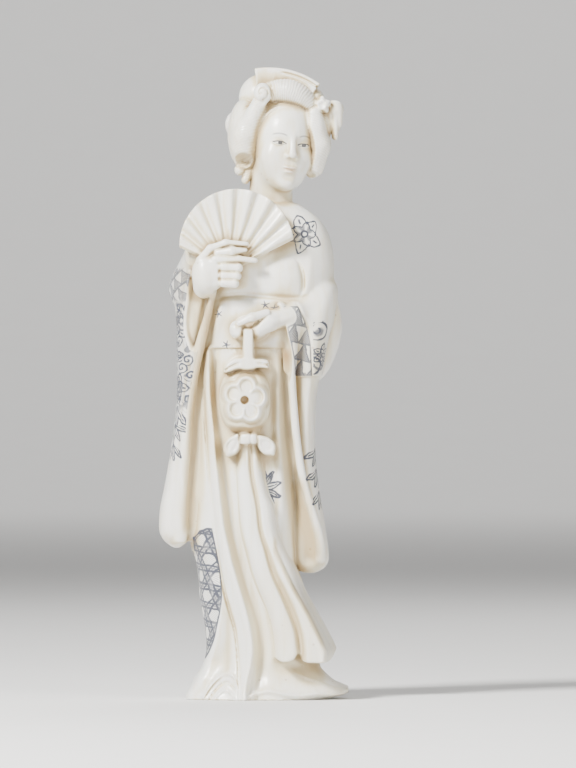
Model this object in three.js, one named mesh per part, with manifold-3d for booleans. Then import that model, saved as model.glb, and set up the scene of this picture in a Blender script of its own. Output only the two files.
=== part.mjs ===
// A small standing figure of a woman in a long-sleeved robe, carved from one block.
// One hand holds an open folding fan in front of her shoulder. The other holds a lantern on a strap,
// and two ribbons fall from it to the hem. She stands on a flat sole at z = 0 and faces -Y.
// The carving is a field that is negative inside the block. It is meshed on a grid, thinned to a
// few thousand facets and cut flat at the sole.
import * as THREE from "three";
import Module from "manifold-3d";

// Driving sizes, in millimetres.
const HEIGHT = 126; // sole to the top of the comb
const HEM_WIDTH = 33.2; // the hem from point to point
const HEM_DEPTH = 23;
const BODY_DEPTH = 17.6; // the robe from front to back, without what she holds
const FAN_RADIUS = 11.4;
const FAN_THICKNESS = 1.7;
const FAN_PLEATS = 12;
const PLEAT_DEPTH = 0.7;
const LANTERN_WIDTH = 10.4;
const LANTERN_HEIGHT = 13;
const STRAP_WIDTH = 2.3;
const PIN_HOLE_RADIUS = 0.75; // the hole in the middle of the lantern's flower
const COMB_WIDTH = 2.8; // the folded band on the crown, from its top edge inwards
const COMB_DEPTH = 6.4; // the same band, from front to back
const CELL = 0.5; // spacing of the grid that the carving is meshed on
const FACETS = 9300; // triangles left after thinning

// The pose and the carving are worked out on a figure of DRAWN_HEIGHT and follow the real height.
const DRAWN_HEIGHT = 126;
const SCALE = HEIGHT / DRAWN_HEIGHT;

const clamp = (t) => Math.min(1, Math.max(0, t));
const ease = (t) => clamp(t) ** 2 * (3 - 2 * clamp(t));
const mix = (a, b, t) => a + (b - a) * t;
const bump = (t) => Math.exp(-t * t);
const degrees = (a) => (a * Math.PI) / 180;

// Two bodies joined with a fillet of about size k, and one cut out of another.
function join(a, b, k) {
  const h = Math.max(k - Math.abs(a - b), 0) / k;
  return Math.min(a, b) - (h * h * k) / 4;
}
const both = (a, b, k) => -join(-a, -b, k);
const cut = (a, b, k) => both(a, -b, k);

// A smooth line through [place, value] stations, held level past its ends.
function line(...stations) {
  const n = stations.length;
  const slope = stations.map((s, i) => {
    const a = stations[Math.max(i - 1, 0)];
    const b = stations[Math.min(i + 1, n - 1)];
    return (b[1] - a[1]) / (b[0] - a[0]);
  });
  let lastPlace = NaN;
  let lastValue = 0;
  return (place) => {
    if (place === lastPlace) return lastValue;
    lastPlace = place;
    let i = 0;
    while (i < n - 2 && place > stations[i + 1][0]) i++;
    const [p0, v0] = stations[i];
    const [p1, v1] = stations[i + 1];
    const t = clamp((place - p0) / (p1 - p0));
    const d = (p1 - p0) * t * (1 - t);
    lastValue = mix(v0, v1, ease(t)) + d * ((1 - t) * slope[i] - t * slope[i + 1]);
    return lastValue;
  };
}

// Distances to simple bodies.
function ellipsoid(x, y, z, [cx, cy, cz], [rx, ry, rz]) {
  const a = (x - cx) / rx;
  const b = (y - cy) / ry;
  const c = (z - cz) / rz;
  const near = Math.sqrt(a * a + b * b + c * c) + 1e-9;
  const steep = Math.sqrt((a / rx) ** 2 + (b / ry) ** 2 + (c / rz) ** 2) + 1e-9;
  return (near * (near - 1)) / steep;
}

function limb(x, y, z, [ax, ay, az], [bx, by, bz], ra, rb) {
  const dx = bx - ax;
  const dy = by - ay;
  const dz = bz - az;
  const t = clamp(((x - ax) * dx + (y - ay) * dy + (z - az) * dz) / (dx * dx + dy * dy + dz * dz));
  const ex = x - ax - dx * t;
  const ey = y - ay - dy * t;
  const ez = z - az - dz * t;
  return Math.sqrt(ex * ex + ey * ey + ez * ez) - mix(ra, rb, t);
}

// An upright body whose level sections are rounded rectangles between four side lines.
function loft(x, y, z, { left, right, front, back, roundness, low, high, lip }) {
  const halfWide = Math.max((right(z) - left(z)) / 2, 0.2);
  const halfDeep = Math.max((back(z) - front(z)) / 2, 0.2);
  const a = Math.abs(x - (right(z) + left(z)) / 2) / halfWide;
  const b = Math.abs(y - (back(z) + front(z)) / 2) / halfDeep;
  const sum = a ** roundness + b ** roundness + 1e-9;
  const near = sum ** (1 / roundness);
  const lean = near / sum;
  const steep = Math.hypot((a ** (roundness - 1) * lean) / halfWide, (b ** (roundness - 1) * lean) / halfDeep);
  const side = (near - 1) / Math.max(steep, 1 / (halfWide + halfDeep));
  return both(side, Math.max(low - z, z - high), lip);
}

// A roll that climbs through the figure, round a line that gives x and y at each level.
function roll(x, y, z, { atX, atY, radius, low, high }) {
  const across = Math.sqrt((x - atX(z)) ** 2 + (y - atY(z)) ** 2) - radius(z);
  return both(across, Math.max(low - z, z - high), 1);
}

// Carved folds on the robe's front. Each runs down (x by level) or across (level by x). It is as wide
// as told on its low side and on its high side, and fades out over its ends.
const FOLDS = [
  // The large fold that sweeps from the hip to the hem, and the valley beside it.
  {
    down: line([0, -4.9], [5, -4.1], [8, -3.4], [10, -2.9], [14, -2.9], [20, -4.6], [25, -6.2], [32, -8],
      [40, -9.6], [47, -10.6], [54, -11.3], [62, -11.8], [70, -12]),
    wide: [2.6, 0.9], high: 2, from: -8, to: 70, fade: 10,
  },
  {
    down: line([0, -2.6], [8, -1.4], [14, -1], [20, -2.6], [32, -6], [40, -7.6], [54, -9.4], [62, -9.8]),
    wide: [1.1, 1.5], high: -0.9, from: -8, to: 66, fade: 10,
  },
  // The edge that runs beside the large fold, lower down.
  {
    down: line([2, -6.2], [6, -6.1], [12, -6.7], [20, -7.8], [28, -9.8], [34, -10.8], [44, -11.9], [56, -13]),
    wide: [0.8, 0.7], high: -0.7, from: -8, to: 58, fade: 8,
  },
  // The hollow in the hem's left corner, the corner's own ridge and the small fold between.
  { down: line([0, -9.9], [4, -10], [9, -10.9], [15, -11]), wide: [2, 2.4], high: -1.6, from: -8, to: 19, fade: 9 },
  { down: line([0, -14.8], [4, -13.4], [9, -12.6], [14, -12.7]), wide: [0.9, 0.9], high: 0.9, from: -8, to: 16, fade: 6 },
  { across: line([-13, 1.4], [-10.6, 4], [-9, 4.8], [-7.6, 3.8], [-6, 1]), wide: [0.6, 0.8], high: 0.7, from: -13, to: -6, fade: 2 },
  // The raised lip of the hem and the hollow above it.
  { across: line([-5, 0.5], [0, 0.5], [4, 1.9], [8, 1.5], [13, 1.2]), wide: [0.7, 0.9], high: 0.8, from: -5, to: 15, fade: 3 },
  { across: line([-3, 5.4], [3, 5.2], [8, 5], [12, 3.6]), wide: [1.6, 1.8], high: -0.9, from: -3, to: 13, fade: 4 },
  // The upper skirt, below the sash.
  { down: line([34, 3.6], [50, 1.6], [60, 1.2], [70, 1]), wide: [1.6, 1.6], high: -0.7, from: 30, to: 69, fade: 9 },
  // The chest: the cloth pulled under the bust, the crease below it and the one at the upper arm.
  { across: line([-12, 85.4], [-3, 86], [5, 85], [12, 84]), wide: [3.2, 3.6], high: 0.9, from: -12, to: 9, fade: 5 },
  { across: line([-12, 79.4], [-3, 80.2], [3, 79.9], [11, 79.2]), wide: [0.9, 0.6], high: -0.8, from: -12, to: 13, fade: 3 },
  { down: line([80, 6.2], [84, 6.9], [89, 6.4]), wide: [0.7, 0.7], high: -0.8, from: 79, to: 91, fade: 4 },
  { down: line([80, 8], [84, 8.8], [89, 8.6]), wide: [0.9, 1.2], high: 0.5, from: 79, to: 91, fade: 4 },
];

function foldHeight(x, z) {
  let height = 0;
  for (const fold of FOLDS) {
    const along = fold.down ? z : x;
    if (along < fold.from || along > fold.to) continue;
    const off = fold.down ? x - fold.down(z) : z - fold.across(x);
    const wide = fold.wide[off < 0 ? 0 : 1];
    if (Math.abs(off) > 3 * wide) continue;
    const ends = ease((along - fold.from) / fold.fade) * ease((fold.to - along) / fold.fade);
    height += fold.high * bump(off / wide) * ends;
  }
  return height;
}

const SASH_EDGE = 69.7; // level of the sash's lower edge
const SASH_RELIEF = 0.45;

// The robe from the hem to the shoulders.
const hemHalf = HEM_WIDTH / 2 / SCALE;
const hemDeep = HEM_DEPTH / 2 / SCALE;
const bodyDeep = BODY_DEPTH / 2 / SCALE;
const ROBE = {
  left: line([-3, -hemHalf - 0.2], [0, -hemHalf], [2, 0.5 - hemHalf], [4, -15.1], [6, -13.6], [8, -12.8], [14, -13.1],
    [20, -14], [26, -14.5], [32, -15.8], [50, -15], [62, -14.2], [70, -13.4], [80, -14.4], [88, -14.6],
    [92, -13.2], [95, -10.4], [98, -6], [100, -4]),
  right: line([-3, hemHalf - 6.4], [0, hemHalf - 4.6], [1.2, hemHalf - 1.2], [2, hemHalf - 0.6], [4, 12.8], [6, 10.2],
    [8, 9.6], [14, 8], [20, 6], [24, 5.4], [32, 6], [50, 7], [62, 7], [70, 8.4], [80, 12.2], [86, 12.8],
    [90, 12.5], [93, 11.7], [95.4, 10.3], [97, 8.6], [98.4, 6.8], [100, 5]),
  front: line([-3, -hemDeep - 0.4], [0, -hemDeep], [4, 1.2 - hemDeep], [9, -bodyDeep - 0.6], [30, -bodyDeep - 0.4],
    [60, -bodyDeep - 0.2], [70, 0.2 - bodyDeep], [84, -bodyDeep], [90, 1 - bodyDeep], [95, 2.6 - bodyDeep],
    [98, 4 - bodyDeep], [100, 5 - bodyDeep]),
  back: line([-3, hemDeep + 0.4], [0, hemDeep], [4, hemDeep - 1], [9, bodyDeep + 0.6], [30, bodyDeep],
    [60, bodyDeep], [70, bodyDeep - 0.6], [84, bodyDeep - 0.4], [92, bodyDeep - 0.8], [98, bodyDeep - 2.4],
    [100, bodyDeep - 3]),
  roundness: 2.5,
  low: -6,
  high: 99.2,
  lip: 1.4,
};

function robe(x, y, z) {
  const front = ease((1 - y) / 5);
  const sash = SASH_RELIEF * ease((z - SASH_EDGE) / 0.5) * ease((81 - z) / 2);
  const behind = 0.45 * Math.cos(x * 0.95 + Math.sin(z * 0.05)) * ease((60 - z) / 30) * (1 - front);
  return loft(x, y, z, ROBE) - front * (foldHeight(x, z) + sash) - behind;
}

// The long sleeve on the fan's side. Its front edge is a roll, and its mouth opens under the wrist.
const FAN_SLEEVE = {
  left: line([28, -20.4], [30, -21.4], [34, -22.2], [38, -22], [42, -21.2], [50, -19.8], [60, -18.7], [70, -18.7],
    [76, -18.8], [80, -19.4], [84, -19.4], [88, -17.8], [91, -16], [94, -13.6]),
  right: line([28, -15.8], [40, -15.6], [60, -13.8], [76, -12.8], [84, -10], [94, -6]),
  front: line([28, -5], [34, -6.6], [50, -7.2], [70, -7.6], [80, -7.6], [86, -6.4], [94, -3.4]),
  back: line([28, 4.6], [34, 6.4], [50, 6.6], [70, 6.6], [86, 6.2], [94, 5]),
  roundness: 2.6,
  low: 30.2,
  high: 93.6,
  lip: 4,
};
const FAN_SLEEVE_EDGE = {
  atX: line([30, -17.8], [40, -17.4], [50, -16.5], [60, -15.6], [70, -14.3], [80, -12.4]),
  atY: line([30, -5], [50, -7.2], [60, -7.8], [80, -8.8]),
  radius: line([30, 1.4], [60, 1.2], [80, 1.3]),
  low: 31,
  high: 82,
};
const FAN_SLEEVE_MOUTH = {
  atX: line([71, -15.7], [76, -15.2], [82, -14.6]),
  atY: line([71, -9.2], [76, -9.6], [82, -10]),
  radius: line([71, 0.8], [74, 1.5], [82, 1.9]),
  low: 70.6,
  high: 84,
};

function fanSleeve(x, y, z) {
  let d = join(loft(x, y, z, FAN_SLEEVE), roll(x, y, z, FAN_SLEEVE_EDGE), 1);
  if (z > 60) {
    d = join(d, limb(x, y, z, [-16.9, -5.2, 82], [-17.3, -5.4, 68], 2.2, 1.4), 1.2);
    d = join(d, limb(x, y, z, [-16.6, -1, 82], [-13.4, -8, 84.4], 3.6, 3), 1.5);
    d = cut(d, roll(x, y, z, FAN_SLEEVE_MOUTH), 0.6);
  }
  return d;
}

// The long sleeve on the lantern's side: the forearm, the hanging cloth, the cuff and the mouth.
const CUFF_EDGE = 64; // level where the cuff's layer ends on the sleeve
const CUFF_RELIEF = 0.5;
const LANTERN_SLEEVE = {
  left: line([24, 4.6], [30, 4.2], [40, 4.2], [50, 4.2], [62, 4.2], [72, 4], [80, 4]),
  right: line([24, 10.8], [27, 11.7], [30, 11.7], [35, 11], [42, 9.9], [50, 9.1], [60, 9.3], [64, 9.9], [70, 10.8],
    [76, 12.2], [80, 13], [84, 13]),
  front: line([24, -3.8], [28, -5], [36, -6.4], [50, -7], [60, -7.4], [72, -8], [80, -7.2], [84, -5]),
  back: line([24, 4], [30, 6], [50, 6.6], [70, 6.8], [84, 6]),
  roundness: 2.6,
  low: 25.1,
  high: 84,
  lip: 3.4,
};
const LANTERN_SLEEVE_EDGE = {
  atX: line([26, 9.2], [31, 9.1], [36, 8.2], [44, 6.6], [54, 5.5], [64, 4.9], [69, 4.7], [74, 3.9], [79, 3]),
  atY: line([26, -3.6], [30, -5.2], [36, -6.6], [50, -7.8], [64, -8.8], [72, -9.9], [79, -10]),
  radius: line([26, 1.5], [40, 1.2], [60, 1.1], [79, 1]),
  low: 27.2,
  high: 79.4,
};
const CUFF_MOUTH = {
  atX: line([64, 2.7], [68, 2.4], [72, 1.9], [75, 1.4]),
  atY: line([64, -8.6], [68, -9.4], [75, -10]),
  radius: line([64, 0.6], [68, 1.3], [75, 1.7]),
  low: 63.6,
  high: 75,
};

function lanternSleeve(x, y, z) {
  let d = loft(x, y, z, LANTERN_SLEEVE);
  d -= CUFF_RELIEF * ease((z - CUFF_EDGE) / 0.6);
  d = join(d, roll(x, y, z, LANTERN_SLEEVE_EDGE), 0.9);
  if (z > 58) {
    d = join(d, limb(x, y, z, [9, -3.4, 76.4], [4.4, -8, 76.6], 3.3, 2.9), 1.4);
    d = join(d, limb(x, y, z, [4.4, -8.2, 76.8], [3.4, -8.4, 66], 2.6, 1.2), 1);
    d = cut(d, roll(x, y, z, CUFF_MOUTH), 0.5);
  }
  return d;
}

// The sash's knot behind her: a broad folded pad held by a cord, which shows past the sleeve, and
// the sash's end, which hangs below it.
const SASH_PAD = {
  left: line([62, -9], [64, -12.4], [67, -14.6], [70, -16], [75, -16.8], [80, -16], [84, -13.6], [87, -10]),
  right: line([62, 8.4], [64, 10.4], [66.2, 12.1], [70, 13.7], [74, 14.5], [77, 14.3], [80, 13.6], [82.4, 12.9],
    [84, 12], [87, 8]),
  front: line([62, 3], [87, 3]),
  back: line([62, 9.4], [66, 11.4], [74, 12], [82, 11], [87, 8.6]),
  roundness: 3,
  low: 62.6,
  high: 86.4,
  lip: 2,
};
const SASH_END = {
  left: line([42, -7.6], [64, -6.4]),
  right: line([42, 6], [64, 4.6]),
  front: line([42, 4], [64, 4]),
  back: line([42, 9.8], [50, 9.6], [64, 10.4]),
  roundness: 4,
  low: 43,
  high: 66,
  lip: 0.8,
};

function sashKnot(x, y, z) {
  let d = loft(x, y, z, SASH_PAD);
  d += 0.7 * bump((Math.abs(x + 1) - 3.4 - 0.32 * Math.abs(z - 74)) / 0.8) * ease((y - 8) / 2);
  d = join(d, loft(x, y, z, SASH_END), 0.5);
  const cord = Math.max(Math.abs(z - 74) - 1.1, loft(x, y, z, SASH_PAD) - 0.5, 8 - y);
  return join(d, cord, 0.6);
}

// The ribbons below the lantern, which widen towards the hem and end above it.
const RIBBON_END = 8;
const RIBBONS = {
  left: line([7, 0.3], [10, 0.1], [15, -0.5], [20, -1.9], [25, -3.4], [30, -4.9], [35, -5.9], [42, -6.5], [54, -6.2]),
  right: line([7, 12], [8.4, 12.6], [10, 13.1], [12, 12.6], [15, 10.8], [20, 8.2], [25, 5.6], [30, 3.6], [35, 1.4],
    [42, -0.8], [54, -2]),
  front: line([7, -13], [14, -12.6], [24, -12.2], [40, -11.4], [54, -11.4]),
  back: line([7, 3], [20, 2], [30, 0], [40, -4], [54, -6]),
  roundness: 3.4,
  low: RIBBON_END - 0.4,
  high: 54,
  lip: 0.7,
};
const FIRST_GROOVE = line([8, 0.44], [25, 0.53], [54, 0.5]); // share of the way across
const SECOND_GROOVE = line([8, 0.73], [25, 0.86], [32, 0.9]);

function ribbons(x, y, z) {
  const left = RIBBONS.left(z);
  const across = RIBBONS.right(z) - left;
  const share = (x - left) / across;
  const grows = ease((54 - z) / 30);
  const first = mix(0.5, 1.3, grows) * bump(((share - FIRST_GROOVE(z)) * across) / 0.65);
  const second = 1.1 * ease((34 - z) / 14) * bump(((share - SECOND_GROOVE(z)) * across) / 0.6);
  const scallop = 0.35 * Math.cos(share * 4 * Math.PI) * bump((z - RIBBON_END) / 1.5);
  return loft(x, y, z + scallop, RIBBONS) + ease((-4 - y) / 4) * (first + second);
}

// The lantern: a barrel with a cap, a flower in a sunk oval on its face, its strap and its bow.
const LANTERN = [-5.1, -9.8, 59.8];
const lanternHalfWide = LANTERN_WIDTH / 2 / SCALE;
const lanternHalfHigh = LANTERN_HEIGHT / 2 / SCALE;
const lanternTop = LANTERN[2] + lanternHalfHigh;
const lanternFoot = LANTERN[2] - lanternHalfHigh;
const LANTERN_HALF_DEEP = 3.9;
const STRAP_TOP = 74.6;
const PETALS = 5;

const PETAL_REACH = 1.95; // from the flower's middle to the middle of a petal
const PETAL_SIZE = 1.55;

function lantern(x, y, z) {
  const [cx, cy, cz] = LANTERN;
  const round = (x - cx) / lanternHalfWide;
  const up = (z - cz) / lanternHalfHigh;
  const b = Math.abs(y - cy) / LANTERN_HALF_DEEP;
  let d = ((Math.abs(round) ** 2.4 + b ** 2.4 + Math.abs(up) ** 2.8) ** 0.4 - 1) * LANTERN_HALF_DEEP;
  const oval = Math.sqrt(round * round + up * up * 1.2);
  d += ease((cy - y) / 2) * 0.45 * bump((oval - 0.84) / 0.13);
  const face = cy - LANTERN_HALF_DEEP;
  for (let n = 0; n < PETALS; n++) {
    const angle = (n / PETALS) * 2 * Math.PI + 0.1;
    const middle = [cx + PETAL_REACH * Math.sin(angle), face + 0.35, cz + PETAL_REACH * Math.cos(angle)];
    d = join(d, ellipsoid(x, y, z, middle, [PETAL_SIZE, 1, PETAL_SIZE]), 0.25);
  }
  const radius = PIN_HOLE_RADIUS / SCALE;
  d = cut(d, limb(x, y, z, [cx, cy - 8, cz], [cx, cy - 3, cz], radius, radius), 0.4);
  const cap = Math.max(Math.abs(x - cx - 0.4) - 4, Math.abs(y - cy - 0.6) - 2.6, Math.abs(z - lanternTop - 0.2) - 0.9);
  return join(d, cap, 0.5);
}

function strapAndBow(x, y, z) {
  const [cx, cy] = LANTERN;
  const half = STRAP_WIDTH / 2 / SCALE;
  const widens = mix(half * 1.3, half * 0.92, clamp((z - lanternTop) / (STRAP_TOP - lanternTop)));
  const side = Math.max(Math.abs(x - cx - 0.7) - widens, Math.abs(y - cy + 0.9) - 2.8);
  let d = both(side, Math.max(lanternTop - 1.2 - z, z - STRAP_TOP), 0.4);
  const foot = lanternFoot - 0.9;
  const knot = Math.max(Math.abs(x - cx) - 1.9, Math.abs(z - foot) - 1, Math.abs(y - cy) - 3.1);
  d = join(d, both(knot, ellipsoid(x, y, z, [cx, cy, foot], [2.9, 3.5, 3]), 0.5), 0.4);
  d = join(d, ellipsoid(x, y, z, [cx - 2.6, cy, foot - 1.6], [1.2, 2.9, 2.3]), 0.3);
  return join(d, limb(x, y, z, [cx + 2.2, cy - 0.7, foot - 0.6], [cx + 4.7, cy - 0.3, foot - 2.2], 1.3, 1.4), 0.3);
}

// The open fan. Its sticks meet in the fist, and its leaf is folded into pleats.
const FAN_CENTRE = [-6.6, 90.3];
const FAN_PIVOT = [-8, 85.2];
const FAN_LEFT_EDGE = degrees(-64); // the two guard sticks, from straight up
const FAN_RIGHT_EDGE = degrees(63);
const LEAF_INNER = 4.8; // where the pleats end, from the pivot
const FAN_FACE = -10.6;

function fan(x, y, z) {
  const dx = x - FAN_PIVOT[0];
  const dz = z - FAN_PIVOT[1];
  const angle = Math.atan2(dx, dz);
  const fromPivot = Math.sqrt(dx * dx + dz * dz);
  const rim = Math.sqrt((x - FAN_CENTRE[0]) ** 2 + (z - FAN_CENTRE[1]) ** 2) - FAN_RADIUS / SCALE;
  const past = Math.max(FAN_LEFT_EDGE - angle, angle - FAN_RIGHT_EDGE);
  const wedge = past > Math.PI / 2 ? fromPivot : fromPivot * Math.sin(past);
  const share = (angle - FAN_LEFT_EDGE) / (FAN_RIGHT_EDGE - FAN_LEFT_EDGE);
  const leaf = ease((fromPivot - LEAF_INNER) / 0.8);
  const zigzag = Math.abs(((share * FAN_PLEATS + 10) % 1) - 0.5) * 2;
  const plane = FAN_FACE + (PLEAT_DEPTH / SCALE) * (zigzag - 0.5) * leaf;
  const slab = Math.max(plane - y, y - plane - FAN_THICKNESS / SCALE);
  return both(both(rim, wedge, 0.2), slab, 0.3);
}

// What carries the fan: the shoulder's cloth behind the leaf.
function fanBacking(x, y, z) {
  return join(
    ellipsoid(x, y, z, [-7.4, -5.4, 89.6], [9.4, 5, 8]),
    limb(x, y, z, [-12, -2, 91], [-6, -7, 92], 5, 3),
    2,
  );
}

// The fist with the fan: the thumb lies along the leaf, one finger points and three are curled.
function fanHand(x, y, z) {
  let d = ellipsoid(x, y, z, [-12.2, -10.8, 84.6], [3.3, 2.7, 3.9]);
  d = join(d, limb(x, y, z, [-14.2, -8.6, 82.4], [-11.6, -10.8, 84], 2.9, 2.6), 1.5);
  for (const [level, tip] of [[86, -6.5], [84.3, -6.6], [82.6, -7.2]]) {
    d = join(d, limb(x, y, z, [-10, -12.4, level], [tip, -12.2, level - 0.2], 0.95, 0.85), 0.2);
  }
  d = join(d, limb(x, y, z, [-11, -11.9, 87.4], [-3.4, -11.6, 87.5], 0.95, 0.55), 0.4);
  d = join(d, limb(x, y, z, [-13.4, -11.2, 87.4], [-10.8, -11.9, 89.4], 1.3, 1), 1);
  return join(d, limb(x, y, z, [-10.8, -11.9, 89.4], [-5, -11.7, 90.2], 1, 0.65), 0.5);
}

// The hand that holds the strap: the back of the hand slopes down to two bent fingers and the thumb.
function lanternHand(x, y, z) {
  let d = limb(x, y, z, [3, -9, 76.2], [-2.4, -11, 75.6], 2.1, 2);
  d = join(d, limb(x, y, z, [-2.2, -11.6, 75.9], [-6.2, -12, 74.9], 1.4, 0.9), 0.7);
  d = join(d, limb(x, y, z, [-6.2, -12, 74.9], [-7.2, -11, 73], 0.9, 0.8), 0.4);
  d = join(d, limb(x, y, z, [-1.8, -11.4, 74.4], [-6.4, -11.2, 72.7], 1.4, 1), 0.4);
  d = join(d, limb(x, y, z, [0.4, -11, 73.6], [-3, -11.2, 71.9], 1.5, 1.1), 0.6);
  return join(d, ellipsoid(x, y, z, [-3.6, -9, 74], [3.8, 2, 2.6]), 0.6);
}

// The head. The face is carved in its own frame, which looks along -Y before it is turned and tilted.
// The hair and its ornaments lie around the same origin, untilted.
const HEAD = [2.3, -0.4, 110.6];
const HEAD_TURN = degrees(18); // to the lantern's side
const HEAD_TILT = degrees(6); // sideways
const HEAD_NOD = degrees(3);
const faceFrame = new THREE.Matrix4()
  .makeRotationFromEuler(new THREE.Euler(HEAD_NOD, HEAD_TILT, HEAD_TURN, "ZYX"))
  .invert().elements;

function face(u, v, w) {
  const e = faceFrame;
  const x = e[0] * u + e[4] * v + e[8] * w;
  const y = e[1] * u + e[5] * v + e[9] * w;
  const z = e[2] * u + e[6] * v + e[10] * w;
  const side = Math.abs(x);
  let d = ellipsoid(x, y, z, [0, 0, 1.6], [6.4, 7.3, 8.6]);
  d = join(d, ellipsoid(x, y, z, [0, -2.6, -4], [5, 4.6, 5.2]), 2);
  d = join(d, ellipsoid(x, y, z, [0, -5.5, -7.9], [1.7, 1.5, 1.3]), 1.6);
  d = join(d, ellipsoid(side, y, z, [3, -4.7, -2.4], [2, 1.9, 2.4]), 1.6);
  d = cut(d, ellipsoid(side, y, z, [2.6, -8.2, 0.8], [1.8, 1.6, 0.9]), 1.3);
  d = join(d, ellipsoid(side, y, z, [2.55, -6.1, 0.6], [1.35, 1.05, 0.7]), 0.3);
  d = join(d, limb(x, y, z, [0, -7, 2], [0, -8.3, -1.9], 0.5, 0.75), 0.8);
  d = join(d, ellipsoid(side, y, z, [0.7, -7.5, -2.2], [0.6, 0.75, 0.5]), 0.3);
  d = join(d, ellipsoid(x, y, z, [0, -7, -4.3], [1.4, 0.75, 0.42]), 0.4);
  return join(d, ellipsoid(x, y, z, [0, -6.95, -5.2], [1.1, 0.8, 0.46]), 0.3);
}

// Dressed hair: the roll over the brow, a wing at each side, the crown, and the mass at the nape.
function hair(x, y, z) {
  let d = ellipsoid(x, y, z, [0.2, 1.6, 3.2], [7.8, 8, 8.8]);
  d = join(d, ellipsoid(x, y, z, [-7.3, 0.2, 2.2], [3.7, 5.6, 7.2]), 0.8);
  d = join(d, ellipsoid(x, y, z, [6.3, 0.2, 1], [3, 5.6, 7.6]), 0.8);
  d = join(d, ellipsoid(x, y, z, [0, 6.4, -3.8], [5, 4, 4.6]), 1.6);
  d = cut(d, ellipsoid(x, y, z, [0.6, -9, -1.8], [7.2, 8.6, 10]), 0.6);
  d = cut(d, ellipsoid(x, y, z, [-7.2, -3.8, -3.8], [1.5, 3, 1.9]), 0.6);
  d = cut(d, ellipsoid(x, y, z, [5.6, -3.8, -6.4], [1.4, 2.4, 1]), 0.5);
  let roll = limb(x, y, z, [-4.8, -4.4, 9.4], [0, -5, 11], 2.1, 2.7);
  roll = join(roll, limb(x, y, z, [0, -5, 11], [4, -4.8, 9.9], 2.7, 2.5), 0.4);
  roll = join(roll, limb(x, y, z, [4, -4.8, 9.9], [6.4, -3.6, 7], 2.5, 1.8), 0.4);
  d = join(d, roll, 0.5);
  d = join(d, limb(x, y, z, [-4.6, -5.4, 8.4], [-7.4, -2.6, -0.6], 1.8, 2.4), 0.6);
  return join(d, ellipsoid(x, y, z, [-7.4, 2.4, -6], [2, 2.4, 1.9]), 0.4);
}

// The folded band on the crown, a curl on the brow, and the flower with its ribbon at the right.
const BAND_CENTRE = [-2.5, -2];
const BAND_RADIUS = 17.5;
const BAND_FROM = degrees(-9.5); // the band's two ends, from straight up
const BAND_TO = degrees(35.5);

function hairOrnaments(x, y, z) {
  const dx = x - BAND_CENTRE[0];
  const dz = z - BAND_CENTRE[1];
  const reach = Math.sqrt(dx * dx + dz * dz) - BAND_RADIUS;
  const angle = Math.atan2(dx, dz);
  const past = Math.max(BAND_FROM - angle, angle - BAND_TO) * BAND_RADIUS;
  const wide = COMB_WIDTH / SCALE;
  const band = Math.max(reach, -reach - wide, past, Math.abs(y + 0.4) - COMB_DEPTH / 2 / SCALE);
  let d = join(band, ellipsoid(x, y, z, [1, 1.8, 9.6], [7, 4.4, 3.6]), 0.4);
  d = join(d, ellipsoid(x, y, z, [-3.6, 1.6, 9.7], [4.9, 4, 4.7]), 0.3);
  d = join(d, ellipsoid(x, y, z, [-4, -7, 10.3], [1.7, 1.2, 2]), 0.4);
  d = join(d, hairFlower(x, y, z, [7.8, -3.4, 8.3], 1.9), 0.4);
  d = join(d, ellipsoid(x, y, z, [10.2, -1.2, 7.3], [2.3, 1.7, 1.8]), 0.4);
  for (const [out, drop] of [[9.5, 3.4], [10.5, 2], [11.1, 3.2]]) {
    d = join(d, limb(x, y, z, [out + 0.3, -1.2, 6.4], [out, -0.8, drop], 1, 0.7), 0.2);
  }
  return d;
}

function hairFlower(x, y, z, [cx, cy, cz], size) {
  const angle = Math.atan2(x - cx, z - cz);
  const petals = size * (0.86 + 0.2 * Math.cos(PETALS * angle));
  return ellipsoid(x, y, z, [cx, cy, cz], [petals, 1.1, petals]);
}

const NECK_FOOT = [0, 0.6, 94];
const NECK_TOP = [0.3, 0.4, 106];

function head(x, y, z) {
  const u = x - HEAD[0];
  const v = y - HEAD[1];
  const w = z - HEAD[2];
  let d = join(face(u, v, w), limb(x, y, z, NECK_FOOT, NECK_TOP, 4.5, 4.2), 1);
  d = join(d, hair(u, v, w), 0.2);
  return join(d, hairOrnaments(u, v, w), 0.2);
}

// The collar lies low round the neck, higher behind than in front.
function collar(x, y, z) {
  const rise = z - 98.2 - 0.12 * y + 0.3 * Math.abs(x - 0.2);
  const ring = Math.abs(Math.sqrt((x - 0.2) ** 2 + (y - 0.6) ** 2) - 5.2) - 0.7;
  return both(ring, Math.abs(rise) - 1.6, 0.5);
}

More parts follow.
